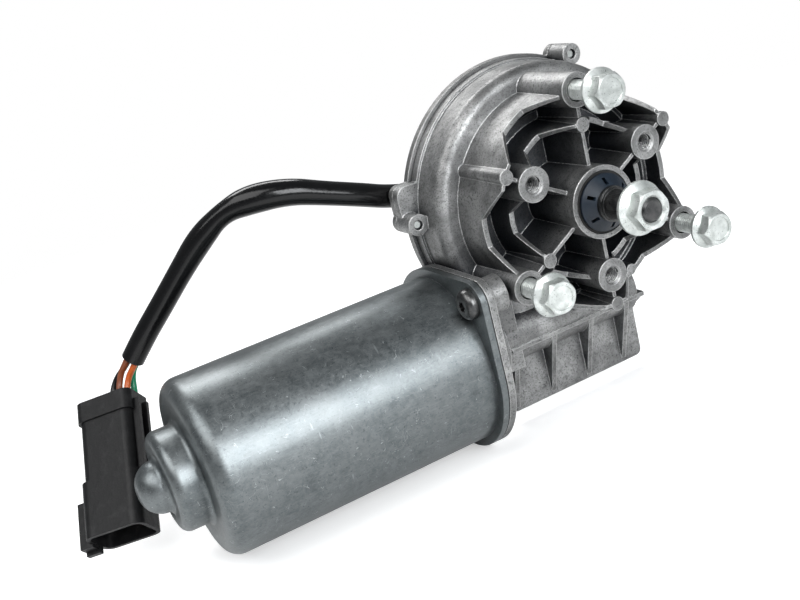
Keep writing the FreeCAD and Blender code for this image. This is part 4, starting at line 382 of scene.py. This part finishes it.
# Motor can: deep-drawn steel with a blue-grey zinc coat, clouded by the bath and rubbed along its
# length where it was handled and drawn.
can_zinc, nodes, links, shader = shader_nodes("can_zinc")
where = place(nodes, links)
lengthways = place(nodes, links, (0.12, 1, 1))
drawn = cloud(nodes, links, lengthways, 0.7, 6, 0.8)
clouds = cloud(nodes, links, where, 3.8, 7, 0.78, 0.5)
patches = cloud(nodes, links, where, 24, 4, 0.6, 0.4)
spots = cloud(nodes, links, where, 0.9, 4, 0.65)
scratched = cloud(nodes, links, place(nodes, links, (1, 0.10, 0.10)), 1.1, 3, 0.5, 0.3)
tone = blend_colours(nodes, links, band(nodes, links, clouds, 0.38, 0.62), (0.120, 0.135, 0.140),
                     (0.190, 0.208, 0.212))
for pattern, low, high, strength, colour in (
        (patches, 0.40, 0.62, 0.35, (0.235, 0.250, 0.252)), (drawn, 0.54, 0.70, 0.6, (0.27, 0.29, 0.295)),
        (drawn, 0.42, 0.30, 0.5, (0.070, 0.080, 0.084)), (spots, 0.58, 0.68, 0.55, (0.055, 0.063, 0.067)),
        (scratched, 0.72, 0.76, 0.45, (0.36, 0.385, 0.39))):
    tone = blend_colours(nodes, links, band(nodes, links, pattern, low, high, 0, strength), tone, colour)
# Hairline scratches: short stretches of one contour of a slow noise.
trail = cloud(nodes, links, where, 6.5, 2, 0.4, 1.6)
contour = product(nodes, links, band(nodes, links, trail, 0.4955, 0.4985),
                  band(nodes, links, trail, 0.5045, 0.5015))
broken = band(nodes, links, cloud(nodes, links, where, 3.0, 2, 0.5), 0.54, 0.60)
tone = blend_colours(nodes, links, product(nodes, links, contour, broken), tone, (0.46, 0.485, 0.49))
# Painted shade: the colour turns near-black where the surface is enclosed within 9 mm.
tone = blend_colours(nodes, links, band(nodes, links, openness(nodes, 9), 0.15, 0.80), (0.025, 0.028, 0.030),
                     tone)
links.new(tone, shader.inputs["Base Color"])
shader.inputs["Metallic"].default_value = 0.92
vary_roughness(nodes, links, shader, clouds, 0.30, 0.46)
first = relief(nodes, links, shader, clouds, 0.12, 0.22, soft_edges(nodes, 0.5))
relief(nodes, links, shader, drawn, 0.05, 0.45, first)
finish_nodes(["motor_can"], can_zinc)


# Fasteners: flanged bolts, nut and cover screws in pale zinc plate, flange screws and shaft in a dark
# one. The ridges of the threads are coils on the bolts and inside the threaded holes.
def plated_steel(name, dark, light, roughness, metallic=1.0):
    material, nodes, links, shader = shader_nodes(name)
    where = place(nodes, links)
    fine = cloud(nodes, links, where, 0.8, 5, 0.65)
    wide = cloud(nodes, links, where, 4.5, 4, 0.6)
    tone = blend_colours(nodes, links, band(nodes, links, wide, 0.36, 0.66), dark, light)
    links.new(tone, shader.inputs["Base Color"])
    vary_roughness(nodes, links, shader, fine, roughness - 0.06, roughness + 0.12)
    shader.inputs["Metallic"].default_value = metallic
    relief(nodes, links, shader, fine, 0.04, 0.4, soft_edges(nodes, 0.35))
    return material


def mesh_piece(name, shape, material, body):
    """A new object from a finished bmesh. A piece that is blended across a joint takes no body."""
    bmesh.ops.remove_doubles(shape, verts=shape.verts, dist=1e-6)
    bmesh.ops.recalc_face_normals(shape, faces=shape.faces)
    mesh = bpy.data.meshes.new(name)
    shape.to_mesh(mesh)
    shape.free()
    mesh.materials.append(material)
    piece = bpy.data.objects.new(name, mesh)
    scene.collection.objects.link(piece)
    if body:
        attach(piece, body)
    return piece


def close_ends(shape, sides):
    bmesh.ops.holes_fill(shape, edges=[edge for edge in shape.edges if edge.is_boundary], sides=sides)


THREAD_PITCH_MM = 1.25
STEPS_PER_TURN = 20
BOLT_CIRCLE_MM, BOSS_CIRCLE_MM = 47, 33


def thread_coil(shape, circle_mm, angle, start_mm, turns, base_mm, crest_mm):
    """A thread's ridge around an axis along Y: its triangle is spun and moved on by a pitch each turn."""
    x_mm = circle_mm * math.cos(math.radians(angle))
    z_mm = circle_mm * math.sin(math.radians(angle))
    half = THREAD_PITCH_MM / 2
    corners = [shape.verts.new(((x_mm + radius) / 1000, along / 1000, z_mm / 1000)) for radius, along in (
        (base_mm, start_mm - half + 0.04), (crest_mm, start_mm), (base_mm, start_mm + half - 0.04))]
    edges = [shape.edges.new((corners[index], corners[(index + 1) % 3])) for index in range(3)]
    bmesh.ops.spin(shape, geom=corners + edges, cent=(x_mm / 1000, 0, z_mm / 1000), axis=(0, 1, 0),
                   dvec=(0, THREAD_PITCH_MM / 1000 / STEPS_PER_TURN, 0), angle=turns * 2 * math.pi,
                   steps=turns * STEPS_PER_TURN)
    close_ends(shape, 3)


zinc_plate = plated_steel("zinc_plate", (0.48, 0.51, 0.49), (0.74, 0.77, 0.75), roughness=0.30, metallic=0.72)
finish_nodes(["output_nut", "cover_screws", "mounting_bolts"], zinc_plate)
bolt_threads = bmesh.new()
for angle in (90, 210, 330):
    thread_coil(bolt_threads, BOLT_CIRCLE_MM, angle, start_mm=-14.2, turns=13, base_mm=3.90, crest_mm=4.15)
mesh_piece("bolt_threads", bolt_threads, zinc_plate, "gearbox")
hole_threads = bmesh.new()
for angle in (30, 150, 270):
    thread_coil(hole_threads, BOSS_CIRCLE_MM, angle, start_mm=1.2, turns=12, base_mm=3.45, crest_mm=3.08)
mesh_piece("hole_threads", hole_threads, casting, "gearbox")
dark_plate = plated_steel("dark_plate", (0.060, 0.061, 0.063), (0.14, 0.14, 0.138), roughness=0.3)
finish_nodes(["flange_screws", "retaining_ring", "output_shaft"], dark_plate)


# Shaft's knurl and dust cap: the knurl is a tapered sleeve of ridges on the shaft, with a groove at
# every other edge. The cap below it is dull blue-black plastic.
KNURL_RIDGES = 40
KNURL_GROOVE = 0.955
KNURL_MIDDLE_Y = -0.0174
knurl = bmesh.new()
bmesh.ops.create_cone(
    knurl, cap_ends=True, segments=2 * KNURL_RIDGES, radius1=0.0061, radius2=0.0053, depth=0.0098,
    matrix=Matrix.Translation((0, KNURL_MIDDLE_Y, 0)) @ Matrix.Rotation(math.radians(90), 4, "X"))
for vertex in knurl.verts:
    edge_index = round(math.atan2(vertex.co.x, vertex.co.z) / (math.pi / KNURL_RIDGES))
    if edge_index % 2:
        vertex.co.x *= KNURL_GROOVE
        vertex.co.z *= KNURL_GROOVE
mesh_piece("shaft_knurl", knurl, dark_plate, "output")
blue_plastic = soft_plastic("blue_plastic", (0.004, 0.010, 0.019), (0.009, 0.018, 0.030),
                            roughness=0.42, grain_mm=0.5, wave_mm=5, depth_mm=0.05)
finish_nodes(["dust_cap"], blue_plastic)


# Plug: a housing of black glass-filled plastic with a dull moulded skin, and a red-brown lock in its
# mouth.
plug_plastic = soft_plastic("plug_plastic", (0.0045, 0.0045, 0.005), (0.013, 0.013, 0.0135),
                            roughness=0.44, grain_mm=0.6, wave_mm=5, depth_mm=0.12, sheen=0.30)
finish_nodes(["connector_body"], plug_plastic)
lock_plastic = soft_plastic("lock_plastic", (0.055, 0.020, 0.010), (0.10, 0.045, 0.025),
                            roughness=0.42, grain_mm=0.5, wave_mm=4, depth_mm=0.05)
finish_nodes(["wedge_lock"], lock_plastic)


# Pieces inside: bright steel, bronze, copper, brass, carbon and moulded boards. Nearly all of
# them are hidden by the gearbox, the can and the plug.
INNER_METALS = (
    ("bright_steel", (0.42, 0.42, 0.43), (0.60, 0.60, 0.61), 0.22, (
        "armature_shaft", "wheel_hub", "thrust_washer", "bearing_outer_ring", "bearing_inner_ring",
        "bearing_balls", "thrust_screw", "shaft_clip", "magnet_clips", "tail_bush_clip",
        "spring_common", "spring_low", "spring_high")),
    ("sheet_stack", (0.09, 0.09, 0.095), (0.16, 0.16, 0.165), 0.4, ("armature_core",)),
    ("bronze", (0.26, 0.15, 0.07), (0.42, 0.26, 0.12), 0.42,
     ("front_bush", "rear_bush", "end_bush", "tail_bush")),
    ("brass", (0.60, 0.40, 0.13), (0.78, 0.56, 0.22), 0.26,
     ("contact_disc", "contact_fingers", "brush_holders")),
    ("tinned", (0.55, 0.55, 0.53), (0.72, 0.72, 0.70), 0.25, ("connector_pins",)),
    ("copper", (0.42, 0.13, 0.05), (0.62, 0.24, 0.11), 0.34, ("armature_winding", "commutator")),
)
for name, dark, light, roughness, metal_nodes in INNER_METALS:
    finish_nodes(metal_nodes, plated_steel(name, dark, light, roughness))
INNER_PLASTICS = (
    ("ferrite", (0.035, 0.035, 0.037), (0.060, 0.060, 0.062), 0.6, 0.8, 8, 0.1, ("field_magnets",)),
    ("carbon", (0.016, 0.016, 0.017), (0.028, 0.028, 0.030), 0.5, 0.4, 3, 0.04,
     ("brush_common", "brush_low", "brush_high")),
    ("wheel_nylon", (0.62, 0.58, 0.47), (0.70, 0.66, 0.56), 0.36, 0.8, 8, 0.06, ("worm_wheel",)),
    ("board", (0.060, 0.028, 0.014), (0.085, 0.042, 0.024), 0.5, 0.5, 6, 0.05,
     ("switch_plate", "brush_plate", "tail_thrust_pad")),
    ("lead_plastic", (0.10, 0.012, 0.010), (0.16, 0.03, 0.025), 0.36, 0.3, 4, 0.03,
     ("inner_leads", "brush_leads")),
)
for name, colour, dust, roughness, grain_mm, wave_mm, depth_mm, plastic_nodes in INNER_PLASTICS:
    finish_nodes(plastic_nodes, soft_plastic(name, colour, dust, roughness, grain_mm, wave_mm, depth_mm))


# Brush springs: wire coils between the two sliding brushes and the ends of their holders. They are
# drawn again here, because each one shortens as its brush slides back.
SPRING_TURNS = 5
SPRING_STEPS = SPRING_TURNS * STEPS_PER_TURN
SPRING_SIDES = 8
SPRING_RADIUS = 0.0021
SPRING_WIRE_RADIUS = 0.00025
SPRING_X, SPRING_Y = -0.07055, 0.042
for name, brush_z, holder_z in (("low", -0.03195, -0.02420), ("common", -0.08005, -0.08780)):
    coil = bmesh.new()
    first_place = Matrix.Translation((SPRING_X + SPRING_RADIUS, SPRING_Y, brush_z))
    bmesh.ops.create_circle(coil, segments=SPRING_SIDES, radius=SPRING_WIRE_RADIUS,
                            matrix=first_place @ Matrix.Rotation(math.radians(90), 4, "X"))
    bmesh.ops.spin(coil, geom=coil.verts[:] + coil.edges[:], cent=(SPRING_X, SPRING_Y, 0), axis=(0, 0, 1),
                   dvec=(0, 0, (holder_z - brush_z) / SPRING_STEPS), angle=SPRING_TURNS * 2 * math.pi,
                   steps=SPRING_STEPS)
    close_ends(coil, SPRING_SIDES)
    spring = mesh_piece(f"{name}_brush_spring", coil, bpy.data.materials["bright_steel"], None)
    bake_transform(spring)
    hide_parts(f"spring_{name}")
